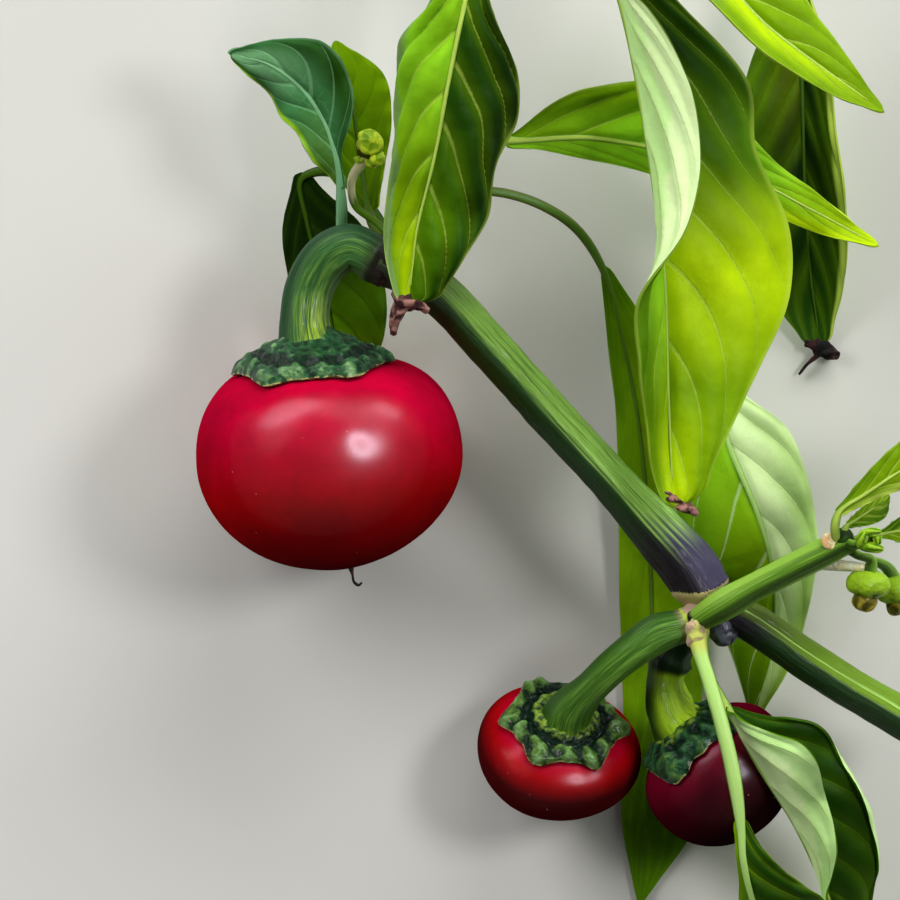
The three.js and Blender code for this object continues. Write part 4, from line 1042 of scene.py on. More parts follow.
def fruit_material(plan):
    """Glossy skin: bright shoulders as painted light and deeper towards the far end as painted shade,
    with faint marbling and tiny pale specks. The gloss fades towards the outline."""
    deep, usual, bright = (plan.skin + part for part in ("_deep", "", "_bright"))
    t = Finish(f"skin_{plan.name}", 0.5, coat_roughness=0.24, bump=0.03, specular=0.0)
    phi = t.skin()[2]
    patches = t.mottle(7.0, 0.3, 0.7)
    fine = t.mottle(1.2, 0.3, 0.7)
    bright_to, usual_from, deep_from = plan.painted_light_fall
    # Brighter near the stalk and deeper at the far end: painted light and painted shade.
    body = t.ramp(phi, (bright_to, bright), (usual_from, usual), (deep_from, deep))
    body = t.mix(t.times(patches, 0.25), body, deep)
    body = t.mix(t.times(fine, 0.12), body, deep)
    dots = t.group("specks", spacing=2.8, share=0.05)["Dots"]
    body = t.mix(t.times(dots, 0.45), body, "speck")
    t.surface.inputs["Coat IOR"].default_value = FRUIT_COAT_IOR
    facing = t.add("LayerWeight", out=1, sockets={"Blend": 0.5})
    t.feed(t.surface, "Coat Weight", t.eased(facing, 0.1, 0.36, plan.gloss, 0.0))
    return t.painted(body, t.times(fine, 0.4))


def style_remnant(skin):
    """The dry thread that is left of the flower at the large fruit's far end."""
    route = Route([(-12.9, -15.4, 18.4), (-12.7, -16.3, 18.6), (-12.5, -17.2, 18.7),
                   (-11.9, -17.6, 18.7), (-11.5, -17.3, 18.6)])
    radii = [0.36, 0.18, 0.17, 0.2, 0.14]
    thread = closed_tube(
        route, lambda share, angle, middle: along(radii, share), around=12, lengthwise=40)
    return finished(thread, "style_thread", [skin])


# Stalks and calyxes

NO_KNOT = -100
CALYX_ROUNDS = 180
CALYX_RINGS = 56
CALYX_SHELL = 0.4
CALYX_RIM_AT = 0.93


def wrinkle_height(plan, base, theta, share):
    """How far a calyx's crinkled skin stands up, from about -1 to 1."""
    spot = base * 0.55 + Vector((0, 0, plan.radius))
    near = noise.voronoi(spot)[0]
    folds = math.cos(13 * theta + 5 * noise.noise(base * 0.2)) * eased(share, 0.4, 0.6)
    lumps = 1.5 * (near[1] - near[0]) - 0.5
    return 0.45 * folds + 0.7 * lumps + 0.45 * noise.noise(base * 0.9)


def calyx_mesh(plan):
    """The crinkled cap on a fruit's shoulders, with a tooth at each lobe."""
    cap = plan.calyx

    def place(u, share, row):
        theta = 2 * math.pi * u
        tooth = 0.5 + 0.5 * math.cos(cap.lobes * theta + cap.turn)
        lobes = 1 + cap.lobing * (2 * tooth ** 2 - 0.75)
        ragged = 1 + 0.05 * noise.noise(circled(theta, 6, plan.radius))
        leaning = 1 + cap.lean * math.cos(theta - math.radians(cap.lean_at))
        phi = cap.reach * share * leaning * (1 + (lobes * ragged - 1) * eased(share, 0.5, 0.9))
        base = skin_point(plan, phi, theta)
        normal = skin_normal(plan, phi, theta)
        edge = eased(share, 1.02, 0.84)
        wrinkle = wrinkle_height(plan, base, theta, share)
        rim = 0.5 * hump(share - CALYX_RIM_AT, 0.05)
        groove = cap.groove * hump(share - cap.groove_at, 0.07)
        crown = cap.crown * (1 - cap.hollow * math.cos(theta) ** 2 * eased(share, 0.05, 0.4))
        lift = CLEARANCE + cap.thickness * (0.2 + 1.1 * edge) + crown * (1 - share) ** cap.slope
        lift += 0.62 * wrinkle * edge * eased(share, 0.2, 0.45) + 0.4 * rim - groove
        return base + normal * lift, Vector((wrinkle - 2.2 * groove + 0.4 * rim, theta, share))

    mesh = welded(drawn_grid(CALYX_ROUNDS, CALYX_RINGS, lambda v: None, place))
    mesh.normal_update()
    bmesh.ops.solidify(mesh, geom=mesh.faces[:], thickness=CALYX_SHELL)
    bmesh.ops.transform(mesh, matrix=seat(FRUIT_AXIS, plan.axis, plan.centre), verts=mesh.verts)
    return mesh


def stalk_route(plan):
    """The stalk's line, run on a little into the stem that it grows from."""
    last, before = Vector(plan.stalk[-1]), Vector(plan.stalk[-2])
    return Route([*plan.stalk, last + (last - before).normalized() * plan.beyond])


def stalk_mesh(plan):
    """A fruit stalk with ribs and fibres, a knot where it has one, and a ring before its joint."""
    route = stalk_route(plan)
    knot = route.share_near(plan.knot) * route.length if plan.knot else NO_KNOT
    collar = route.length - plan.end_length

    def radius_of(share, angle, middle):
        size = along([*plan.radii, plan.radii[-1]], share)
        walked = share * route.length
        ribs = 0.035 * math.cos(6 * angle + 1.3 * math.sin(walked * 0.08))
        cords = 0.045 * fibre(angle, walked, 3.2, plan.radius)
        fine = 0.02 * fibre(angle, walked * 2, 9, plan.radius)
        spot = middle * 0.3 + circled(angle) * 1.2
        lumps = plan.lumps * noise.noise(spot)
        knob = 0.3 * hump(walked - knot, 1.2)
        ring = 0.06 * hump(walked - collar, 0.5)
        return size * (1 + ribs + cords + fine + lumps + knob + ring)

    return closed_tube(route, radius_of, around=84, lengthwise=200, cap=0.4)


def stalk_material(plan):
    """A fruit stalk: fine fibres in three greens, painted shade along one side, a paler foot, and its
    own colour at the joint, which on the right stalk is the stem's dark, partly painted shade.
    """
    t = Finish(f"stalk_{plan.name}_skin", 0.42, coat=0.12, bump=0.16)
    route = stalk_route(plan)
    dark, usual, light = plan.tones
    fibres = t.group("stem_fibres", fineness=4.2, stretch=0.07)
    streaks = t.scaled(fibres["Streaks"], 0.5, t.times(fibres["Threads"], 0.5))
    body = t.ramp(streaks, (0.32, dark), (0.48, usual), (0.7, light))
    # The side turned away from the light is painted dark: painted shade.
    body = t.mix(t.eased(fibres["Side"], -0.3, -0.95), body, dark)
    tone, low, high = plan.foot
    foot = t.times(t.eased(fibres["Walked"], high, low), t.eased(streaks, 0.4, 0.58))
    foot = t.times(foot, t.eased(fibres["Side"], -0.5, 0.1))
    body = t.mix(t.times(foot, 0.85), body, tone)
    if plan.knot:
        knot = route.share_near(plan.knot) * route.length
        from_knot = t.away(t.minus(fibres["Walked"], knot))
        body = t.mix(t.eased(from_knot, 1.8, 0.6), body, "shade")
    from_end = t.minus(fibres["Walked"], route.length + 0.8)
    reach = t.scaled(fibres["Threads"], 1.6, from_end)
    joint = t.eased(reach, -plan.end_length - 2, 0.8 - plan.end_length)
    body = t.mix(joint, body, plan.end)
    if plan.end == "tan":
        line = t.eased(t.away(t.plus(reach, plan.end_length + 0.3)), 0.5, 0.15)
        body = t.mix(line, body, "stalk_streak")
    return t.painted(body, t.plus(fibres["Streaks"], fibres["Threads"]))


def calyx_material(plan):
    """Dark in its creases as painted shade, lighter on its raised parts as painted light, with a thin
    pale rim.
    """
    t = Finish(f"calyx_{plan.name}_skin", 0.38, coat=0.2, bump=0.2)
    parts = t.skin()
    dark, usual, light = plan.calyx.tones
    fine = t.mottle(0.9, 0.36, 0.64)
    level = t.scaled(fine, 0.5, t.minus(parts[0], 0.25))
    # Creases are painted dark and raised parts light: painted shade and painted light.
    body = t.ramp(t.scaled(level, 0.5, 0.5), (0.2, dark), (0.52, usual), (1, light))
    inner = plan.calyx.groove_at
    yellow = t.times(t.eased(parts[2], inner - 0.04, inner - 0.14), plan.calyx.inner)
    body = t.mix(t.times(yellow, t.eased(fine, 0.1, 0.8)), body, "stalk_streak")
    rim = t.times(t.eased(parts[2], 0.972, 0.99), 0.7)
    body = t.mix(t.times(rim, t.eased(fine, 0.1, 0.7)), body, "calyx_rim")
    return t.painted(body, fine)


# Stems

NODE_CENTRE = (33.6, -18.9, 20)
STEM_ROUTE = [
    (62.4, -37.1, 16.5), (58.5, -34.7, 17), (52, -30.9, 17.8), (45.9, -27, 18.6), (40, -22.9, 19.4),
    NODE_CENTRE, (31.2, -15.4, 20.4), (24.6, -8, 21), (18.6, -1.4, 21.6), (12.6, 5.1, 22.1),
    (4.4, 14.2, 22.5), (-0.8, 19.8, 22.7), (-4.6, 22.6, 22.8), (-9.1, 24.6, 22.8),
]
STEM_RADII = [2.55, 2.5, 2.5, 2.45, 2.6, 3.6, 3.3, 2.75, 2.7, 2.7, 2.7, 2.7, 2.75, 2.8]
STEM_FACETS = 4
STEM_FACET_DEPTH = 0.07
STEM_EDGE_ANGLE = math.radians(104)
SCAR_AT = 0.8
SCAR_SLANT = 1.2
UPPER_ROUTE = [
    (-7.4, 24.4, 22.6), (-5, 28.4, 22.2), (-2.4, 33.2, 22), (0.2, 39.4, 22), (1.6, 48, 22.6),
    (2.2, 57, 23.4), (4.2, 65.6, 24.2),
]
END_ROUTE = [
    (4, 65, 24.1), (6.6, 69.6, 24.7), (11.6, 72.8, 25), (21, 75.2, 25.2), (31.6, 74.4, 24.6),
    (38.6, 71.4, 24),
]
SIDE_ROUTE = [
    (31.9, -22.4, 22.8), (34.2, -20.9, 24.4), (38.8, -18.2, 25.3), (44.6, -15.2, 26),
    (48.6, -13.2, 26.6), (51.8, -11.6, 27.1),
]
SHOOTS = [
    SimpleNamespace(node="shoot_upper", route=UPPER_ROUTE, radii=[1.9, 1.7, 1.7, 1.65, 1.6, 1.55, 1.65],
                    around=48, lengthwise=150, facets=3, shaded_foot=0),
    SimpleNamespace(node="shoot_end", route=END_ROUTE, radii=[1.5, 1.45, 1.35, 1.2, 0.95, 0.6],
                    around=48, lengthwise=130, facets=3, shaded_foot=0),
    SimpleNamespace(node="shoot_side", route=SIDE_ROUTE, radii=[1.5, 1.95, 1.75, 1.75, 1.75, 1.6],
                    around=64, lengthwise=140, facets=4, shaded_foot=1.0),
]
STUB_ROUTE = [(34, -20.6, 19.6), (35.2, -23, 20.4), (35.9, -24.3, 20.8)]
STUB_RADII = [1.7, 2, 1.7]
JOINT_LUMP = ((31.9, -23.6, 23.9), (0.05, 1, -0.1), (1.35, 2.1))


def stem_mesh(thickness_scale):
    """The main stem: four blunt edges, fine ribs, and a knot that ends in a slanting scar."""
    route = Route(STEM_ROUTE)
    node = route.share_near(NODE_CENTRE) * route.length

    def radius_of(share, angle, middle):
        walked = share * route.length
        past_scar = walked - node - SCAR_AT + SCAR_SLANT * math.cos(angle)
        facets = STEM_FACET_DEPTH * math.cos(STEM_FACETS * (angle - STEM_EDGE_ANGLE))
        cords = 0.035 * fibre(angle, walked, 3.0, 2)
        fine = 0.02 * fibre(angle, walked * 2, 9.0, 8)
        step = -0.12 * eased(past_scar, 0.5, -1.6) * eased(past_scar, -9, -3)
        ring = 0.035 * hump(past_scar, 0.6)
        bumps = 0.03 * noise.noise(middle * 0.5 + Vector((angle, 0, 0)))
        size = along(STEM_RADII, share) * thickness_scale
        return size * (1 + facets + cords + fine + step + ring + bumps)

    return closed_tube(route, radius_of, around=112, lengthwise=460, cap=0.04)


def stub_mesh():
    """What is left of an old side stem, rough and rounded."""
    route = Route(STUB_ROUTE)

    def radius_of(share, angle, middle):
        rough = 0.12 * noise.noise(middle * 1.1 + circled(angle))
        return along(STUB_RADII, share) * (1 + rough)

    return closed_tube(route, radius_of, around=36, lengthwise=40, cap=0.7)


def shoot_mesh(plan):
    """A young shoot with blunt edges and fine ribs."""
    route = Route(plan.route)

    def radius_of(share, angle, middle):
        walked = share * route.length
        facets = 0.06 * math.cos(plan.facets * angle + 0.6)
        cords = 0.05 * fibre(angle, walked, 2.6, 5)
        return along(plan.radii, share) * (1 + facets + cords)

    return closed_tube(route, radius_of, plan.around, plan.lengthwise, cap=0.3)


def stem_material():
    """The main stem: green above and dark below as painted shade, purple round the knot, greyer at the
    top end.
    """
    t = Finish("stem_skin", 0.48, coat=0.08, bump=0.2)
    route = Route(STEM_ROUTE)
    node = route.share_near(NODE_CENTRE) * route.length
    fibres = t.group("stem_fibres", fineness=5.5, stretch=0.05)
    wander = t.scaled(fibres["Streaks"], 0.5, -0.25)
    side = t.plus(fibres["Side"], wander)
    streaks = t.scaled(fibres["Threads"], 0.6, t.times(fibres["Streaks"], 0.4))
    lit = t.ramp(streaks, (0.34, "stem_mid"), (0.48, "stem"), (0.66, "stem_light"))
    from_node = t.minus(fibres["Walked"], node)
    lit = t.mix(t.eased(from_node, 10, 40), lit, STEM_DIMMING, "MULTIPLY")
    # The side turned away from the light is painted dark: painted shade.
    upper = t.mix(t.eased(side, 0.04, -0.2), lit, "stem_dark")
    line = t.eased(t.away(t.minus(side, 0.42)), 0.12, 0.02, 0, 0.7)
    # Before the node the lit side turns brownish and dark: partly its own colour, partly painted shade.
    brown_and_shade_near_node = t.eased(fibres["Walked"], node - 20, node - 6, 0, 0.7)
    low_lit = t.mix(line, t.mix(brown_and_shade_near_node, "stem_olive", "dull_dark"), "stem_light")
    # Round the node the shaded side is painted darker still: deeper painted shade.
    deeper_shade_near_node = t.eased(fibres["Walked"], node - 12, node - 5)
    low_dark = t.mix(deeper_shade_near_node, "stem_dark", "stem_black")
    lower = t.mix(t.eased(side, 0.1, -0.1), low_lit, low_dark)
    slanted = t.scaled(fibres["Side"], SCAR_SLANT, -node - SCAR_AT)
    past_scar = t.plus(fibres["Walked"], slanted)
    body = t.mix(t.eased(past_scar, -1.0, 0.0), lower, upper)
    uneven = t.scaled(fibres["Streaks"], 16.0, -8.0)
    reach = t.plus(past_scar, uneven)
    purple = t.times(t.eased(past_scar, -5.5, -1.5), t.eased(reach, 15.0, 5.5))
    flecks = t.group("specks", spacing=1.5, share=0.09)["Dots"]
    shade = t.mix(t.eased(side, 0.3, -0.2), "node", "stem_black")
    shade = t.mix(t.times(flecks, 0.35), shade, "node_grey")
    body = t.mix(purple, body, shade)
    top_end = t.eased(reach, route.length - node - 14, route.length - node - 4, 0, 0.75)
    body = t.mix(top_end, body, "top_grey")
    from_scar = t.away(t.plus(past_scar, 0.35))
    width = t.scaled(fibres["Side"], -0.45, 0.6)
    ragged = t.scaled(fibres["Threads"], 1.2, -0.6)
    scar = t.math("LESS_THAN", t.plus(from_scar, ragged), width)
    body = t.mix(t.times(scar, 0.85), body, "scar")
    return t.painted(body, t.plus(fibres["Streaks"], fibres["Threads"]))


def shoot_material(name, foot):
    """Young shoots: a pale upper edge as painted light, a green body, one dark line along the lower side
    and a dark foot of a length, both painted shade.
    """
    t = Finish(name, 0.42, coat=0.1, bump=0.14)
    fibres = t.group("stem_fibres", fineness=3.5, stretch=0.05)
    wander = t.scaled(fibres["Streaks"], 0.4, -0.2)
    side = t.plus(fibres["Side"], wander)
    body = t.ramp(fibres["Streaks"], (0.36, "stem_mid"), (0.5, "shoot"), (0.66, "shoot_light"))
    # The upper edge is painted pale as painted light, and a dark line on the lower side is painted
    # shade.
    body = t.mix(t.eased(side, -0.45, -0.7), body, "shoot_light")
    line = t.eased(t.away(t.minus(side, 0.45)), 0.4, 0.12)
    body = t.mix(t.times(line, 0.8), body, "stem_dark")
    # The dark foot where the shoot meets the node is painted shade.
    if foot:
        reach = t.scaled(wander, 6, fibres["Walked"])
        body = t.mix(t.eased(reach, foot, 0.3 * foot), body, "stem_black")
    return t.painted(body, t.plus(fibres["Streaks"], fibres["Threads"]))


def plain_material(name, roughness, first, second, size=1.2, coat=0.0):
    """Two colours in small patches, for the smallest parts."""
    t = Finish(name, roughness, coat=coat, bump=0.15)
    patches = t.mottle(size, 0.4, 0.6)
    return t.painted(t.mix(patches, first, second), patches)


# Buds

def cup_ribs(angle, height):
    """Five ribs down a bud's cup, ending in short teeth."""
    rib = 0.5 + 0.5 * math.cos(5 * angle)
    return 0.1 * rib * (1 - height * height) + 0.08 * eased(height, 0.45 + 0.2 * rib, 0.3 + 0.2 * rib)


def petal_folds(angle, height):
    """The twisted folds of closed petals."""
    return 0.12 * math.cos(5 * angle + 1.8 * height) * eased(height, -0.4, 0.5)


def leafy_folds(angle, height):
    """The folds of a tight young leaf cluster."""
    spot = circled(angle, 1, 1.6 * height)
    return 0.14 * math.cos(6 * height + angle) + 0.16 * noise.noise(spot * 1.6)


BUDS = [
    SimpleNamespace(
        node="bud_upper",
        stalk=[(-6.4, 26.2, 22.4), (-9.4, 29.4, 20), (-12.4, 31.9, 19.6), (-12.8, 35.2, 19.8),
               (-11.2, 37.9, 20.2)],
        radii=[0.6, 0.45, 0.5, 0.55, 0.7], stalk_skin="cream", threads=[],
        lobes=[((-10.4, 40, 20.6), (0.5, 0.2, 1), (1.75, 1.35), leafy_folds, "bud_yellow"),
               ((-9.8, 37.9, 20.3), (1, 0.3, 0.6), (1.1, 1.35), leafy_folds, "bud_yellow"),
               ((-11.9, 37.8, 20.6), (0.6, -0.4, 0.7), (0.5, 0.7), leafy_folds, "bud_yellow"),
               ((-10.9, 38.7, 20.4), (1, 0, 0.3), (0.9, 1.2), leafy_folds, "slit")]),
    SimpleNamespace(
        node="bud_side_left",
        stalk=[(50.6, -12.2, 26.6), (52.8, -13.6, 26.4), (54.6, -14.2, 25.8), (54.5, -16, 25.2)],
        radii=[0.6, 0.55, 0.65, 1], stalk_skin="green",
        threads=[([(46, -14.9, 24.5), (50, -14.9, 25.3), (53.6, -15.2, 25.5)], [0.5, 0.75, 0.6],
                  "whitish")],
        lobes=[((54.3, -17.4, 24.6), (-0.1, -1, -0.1), (2.55, 1.95), cup_ribs, "cup"),
               ((53.9, -19.5, 24.4), (-0.25, -1, -0.1), (1.65, 1.5), petal_folds, "petal")]),
    SimpleNamespace(
        node="bud_side_right",
        stalk=[(50.6, -12, 26.4), (53.6, -13.8, 22.6), (56.8, -15.2, 21.2), (57.8, -16.8, 20.6)],
        radii=[0.6, 0.5, 0.6, 1], stalk_skin="green", threads=[],
        lobes=[((57.9, -18.2, 20.4), (0.15, -1, -0.1), (2.3, 2), cup_ribs, "cup"),
               ((58.3, -20.2, 20.2), (0.25, -1, -0.1), (1.6, 1.3), petal_folds, "petal")]),
    SimpleNamespace(
        node="bud_side_green",
        stalk=[(51.2, -11.8, 27.2), (52.2, -12.2, 29), (53.4, -12.2, 29.6)], radii=[0.7, 0.6, 0.6],
        stalk_skin="green", threads=[],
        lobes=[((53.3, -11.6, 30), (0.3, 1, 0.3), (0.75, 1.3), petal_folds, "bud_green"),
               ((54.3, -10.7, 30.1), (1, 0.1, 0.1), (0.65, 1.5), petal_folds, "bud_green"),
               ((55.2, -11.3, 29.9), (0.2, -1, 0), (0.6, 1), petal_folds, "bud_green"),
               ((54.4, -12.6, 29.8), (1, -0.1, 0), (0.7, 1.7), petal_folds, "bud_green"),
               ((54.3, -11.7, 29.3), (0, 0, 1), (0.9, 0.5), leafy_folds, "slit")]),
]

# Small round parts at the tip of the side shoot
TIP_PARTS = [
    ((49.2, -11.8, 28.15), (0.2, 0.3, 1), (1.15, 0.4), "scar"),
    ((51, -11.3, 27.7), (0.3, 0.2, 1), (1.3, 1.15), "tip_dark"),
]


def bud_material(name, light, dark):
    """Ribs lighter than the furrows between them: painted light on the ribs and painted shade in the
    furrows.
    """
    t = Finish(name, 0.4, coat=0.1, bump=0.1)
    raised = t.skin()[0]
    patches = t.mottle(1.0, 0.35, 0.65)
    level = t.scaled(patches, 0.08, raised)
    # Raised parts lighter and furrows darker: painted light and painted shade.
    body = t.mix(t.eased(level, 0.0, 0.1), dark, light)
    return t.painted(body, patches)


def simple_tube(points, radii):
    """A thin stalk with three blunt edges."""

    def radius_of(share, angle, middle):
        return along(radii, share) * (1 + 0.06 * math.cos(3 * angle))

    return closed_tube(Route(points), radius_of, around=20, lengthwise=50)


# Settings

def scale_setting(name, description, low, high):
    return FloatProperty(name=name, description=description, default=1.0, min=low, max=high)


def colour_setting(name, description, *seen):
    return FloatVectorProperty(
        name=name, description=description, default=shown(*seen), subtype="COLOR", size=3, min=0,
        max=1)


class ChilliSizes(bpy.types.PropertyGroup):
    """Sizes of the fine surfaces."""
    leaf_thickness: FloatProperty(
        name="Leaf thickness", description="Thickness of a blade", default=0.32 * MM, min=0.1 * MM,
        max=1 * MM, unit="LENGTH", precision=5)
    petiole_scale: scale_setting("Petiole scale", "Petioles against those of the solids", 0.5, 1.5)
    stem_scale: scale_setting("Stem scale", "The main stem against the solid", 0.8, 1.2)


class ChilliColours(bpy.types.PropertyGroup):
    """Colours of leaves, stems and fruits."""
    fresh: colour_setting("Fresh green", "Yellow-green of young leaves", 124, 166, 8)
    # Lime is painted light: a brightened green for leaves that lie in shade.
    lime: colour_setting("Lime green", "Lively green of thin young leaves", 146, 212, 34)
    sunlit: colour_setting("Sunlit green", "Bright yellow-green parts", 200, 236, 8)
    middle: colour_setting("Middle green", "Usual leaf green", 80, 126, 6)
    deep: colour_setting("Deep green", "Dark leaf green", 34, 70, 8)
    olive: colour_setting("Olive", "Dull leaves at the back", 68, 102, 10)
    shade: colour_setting("Shade", "Darkest leaves", 22, 46, 8)
    bluish: colour_setting("Bluish green", "Bluish sheen of one leaf", 56, 112, 62)
    vein_blue: colour_setting("Pale bluish vein", "Veins of the bluish leaf", 126, 182, 130)
    bronze: colour_setting("Bronze", "Yellowish brown patch", 104, 122, 10)
    grey_under: colour_setting("Grey underside", "Dull grey-green undersides", 116, 152, 82)
    # Strip is lighter than the undersides' own pale green, as painted light on curled undersides that
    # turn away from the lamps.
    strip: colour_setting("Light green underside", "Inner part of the palest undersides", 204, 246, 160)
    petiole: colour_setting("Petiole", "Sides of petioles", 86, 128, 36)
    petiole_light: colour_setting("Light petiole", "Upper part of petioles", 138, 180, 76)
    yellow_foot: colour_setting("Yellow foot", "Swollen foot of a petiole", 186, 196, 88)
    dull: colour_setting("Dull petiole", "Brownish petiole", 96, 114, 40)
    dull_dark: colour_setting("Dark petiole", "Shaded side of the brownish petiole", 50, 58, 22)
    rib: colour_setting("Rib", "Midribs and veins", 186, 212, 84)
    pale: colour_setting("Pale underside", "Undersides", 174, 216, 118)
    # Mint is lighter than the undersides' own pale green, as painted light on curled undersides that
    # turn away from the lamps.
    mint: colour_setting("Mint underside", "Palest undersides", 226, 252, 186)
    dried: colour_setting("Dried tip", "Withered leaf tips", 150, 108, 98)
    dried_dark: colour_setting("Dark dried tip", "Dark parts of withered tips", 58, 34, 34)
    # The bright shoulder reds are painted light with a pink tint of painted reflection, and the deep
    # reds are painted shade towards the far ends.
    ripe: colour_setting("Ripe red", "Skin of ripe fruits", 166, 5, 12)
    ripe_bright: colour_setting("Bright red", "Shoulders of ripe fruits", 186, 4, 48)
    ripe_deep: colour_setting("Deep red", "Shaded skin of ripe fruits", 66, 10, 12)
    dusky: colour_setting("Dusky red", "Skin of the darker fruit", 72, 3, 20)
    dusky_bright: colour_setting("Dusky shoulders", "Shoulders of the darker fruit", 116, 6, 36)
    dusky_deep: colour_setting("Maroon", "Shaded skin of the darker fruit", 28, 8, 10)
    speck: colour_setting("Speck", "Tiny pale specks", 226, 150, 140)
    stalk: colour_setting("Stalk", "Fruit stalks", 72, 118, 36)
    stalk_dark: colour_setting("Dark stalk", "Dark fibres of the large stalk", 32, 70, 38)
    stalk_blue: colour_setting("Bluish stalk", "Body of the large stalk", 58, 104, 50)
    stalk_deep: colour_setting("Deep stalk", "Dark fibres of the small stalks", 42, 80, 20)
    stalk_light: colour_setting("Light stalk", "Light fibres of the fruit stalks", 124, 168, 66)
    stalk_yellow: colour_setting("Yellow stalk", "Body of the yellowish stalk", 176, 226, 36)
    stalk_streak: colour_setting("Stalk streak", "Yellow-green parts of stalks", 166, 194, 44)
    joint_dark: colour_setting("Dark joint", "Brownish black end of the large stalk", 42, 38, 34)
    tan: colour_setting("Tan joint", "Pinkish tan joint of a stalk", 190, 160, 138)
    calyx: colour_setting("Calyx", "Cap on the large fruit", 36, 82, 46)
    calyx_green: colour_setting("Green calyx", "Caps on the small fruits", 80, 116, 44)
    calyx_dark: colour_setting("Calyx crease", "Creases of the caps", 10, 34, 20)
    calyx_lit_raised: colour_setting("Calyx light", "Raised parts of the caps", 122, 166, 106)
    calyx_rim: colour_setting("Calyx rim", "Thin edge of the caps", 178, 168, 104)
    stem: colour_setting("Stem", "Lit face of the main stem", 154, 206, 88)
    stem_light: colour_setting("Light stem", "Light lines of the stem", 188, 236, 124)
    stem_mid: colour_setting("Middle stem", "Darker lines of the lit face", 74, 112, 34)
    stem_dark: colour_setting("Dark stem", "Shaded face of the stem", 24, 58, 12)
    stem_olive: colour_setting("Olive stem", "Lit face between the cut end and the node", 112, 152, 30)
    stem_black: colour_setting("Black stem", "Shaded face round the node", 26, 22, 26)
    node: colour_setting("Node", "Purple band at the node", 62, 58, 84)
    node_grey: colour_setting("Grey fleck", "Grey flecks at the node", 112, 112, 112)
    top_grey: colour_setting("Grey upper end", "Grey of the stem's far end", 66, 68, 62)
    scar: colour_setting("Scar", "Cream scar", 196, 182, 120)
    leaf_scar: colour_setting("Leaf scar", "Orange leaf scar", 208, 164, 112)
    shoot: colour_setting("Shoot", "Young shoots", 84, 126, 26)
    shoot_light: colour_setting("Light shoot", "Pale edge of young shoots", 132, 176, 60)
    bark: colour_setting("Bark", "Dry stub", 24, 24, 26)
    bark_grey: colour_setting("Grey bark", "Top of the dry stub", 88, 96, 108)
    bud_green: colour_setting("Bud green", "Cups of the buds", 146, 186, 34)
    bud_yellow: colour_setting("Bud yellow", "Yellow-green buds", 206, 228, 50)
    cup_furrow_shade: colour_setting("Cup furrow", "Furrows of the buds' cups", 36, 66, 14)
    petal: colour_setting("Petal", "Closed petals", 156, 144, 44)
    petal_fold_shade: colour_setting("Petal fold", "Folds of the closed petals", 86, 84, 20)
    whitish: colour_setting("Whitish green", "The palest thin stalks", 232, 242, 212)
    cream: colour_setting("Cream", "Pale cream stalk", 236, 226, 176)
    floor: colour_setting("Floor", "The plain floor", 214, 214, 210)


# Operators

class CHILLI_OT_patterns(bpy.types.Operator):
    """Builds the shader groups that the finishes share"""
    bl_idname = "chilli.patterns"
    bl_label = "Shared patterns"

    def execute(self, context):
        build_mottle_group()
        build_vein_group()
        build_fibre_group()
        build_speck_group()
        return {"FINISHED"}


class CHILLI_OT_stems(bpy.types.Operator):
    """Builds the main stem with its stub, and the shoots"""
    bl_idname = "chilli.stems"
    bl_label = "Stem and shoots"

    def execute(self, context):
        sizes = context.scene.chilli_sizes
        stem = finished(stem_mesh(sizes.stem_scale), "ribbed_stem", [stem_material()])
        stub_skin = plain_material("stub_bark", 0.35, "bark", "bark_grey", size=2.0, coat=0.3)
        joint_skin = plain_material("joint_skin", 0.5, "tan", "yellow_foot", size=1.6)
        stub = finished(stub_mesh(), "dry_stub", [stub_skin])
        joint = finished(ellipsoid(*JOINT_LUMP, leafy_folds), "joint_lump", [joint_skin])
        placed(joined([stem, stub, joint]), "stem_main", "stem")
        tips = {
            "scar": plain_material("leaf_scar_skin", 0.6, "leaf_scar", "cream"),
            "tip_dark": plain_material("tip_knot_skin", 0.5, "deep", "shade"),
        }
        for plan in SHOOTS:
            skin = shoot_material(f"skin_{plan.node}", plan.shaded_foot)
            parts = [finished(shoot_mesh(plan), f"green_{plan.node}", [skin])]
            if plan.node == "shoot_side":
                for *part, tip in TIP_PARTS:
                    parts.append(finished(ellipsoid(*part), "tip_part", [tips[tip]]))
            placed(joined(parts), plan.node, "young_stem")
        return {"FINISHED"}


class CHILLI_OT_fruits(bpy.types.Operator):
    """Builds the fruits, and the dry flower thread on the large one"""
    bl_idname = "chilli.fruits"
    bl_label = "Fruits"

    def execute(self, context):
        dry = plain_material("dry_thread", 0.7, "dried_dark", "bark")
        for plan in FRUITS:
            fruit = finished(fruit_mesh(plan), f"glossy_fruit_{plan.name}", [fruit_material(plan)])
            if plan.name == "large":
                fruit = joined([fruit, style_remnant(dry)])
            placed(fruit, f"fruit_{plan.name}", plan.slot)
        return {"FINISHED"}


class CHILLI_OT_stalks(bpy.types.Operator):
    """Builds the fruit stalks with their calyxes"""
    bl_idname = "chilli.stalks"
    bl_label = "Stalks and calyxes"

    def execute(self, context):
        for plan in FRUITS:
            stalk = finished(stalk_mesh(plan), f"ribbed_stalk_{plan.name}", [stalk_material(plan)])
            calyx = finished(calyx_mesh(plan), f"calyx_{plan.name}", [calyx_material(plan)])
            placed(joined([stalk, calyx]), f"stalk_{plan.name}", "fruit_stalk")
        return {"FINISHED"}


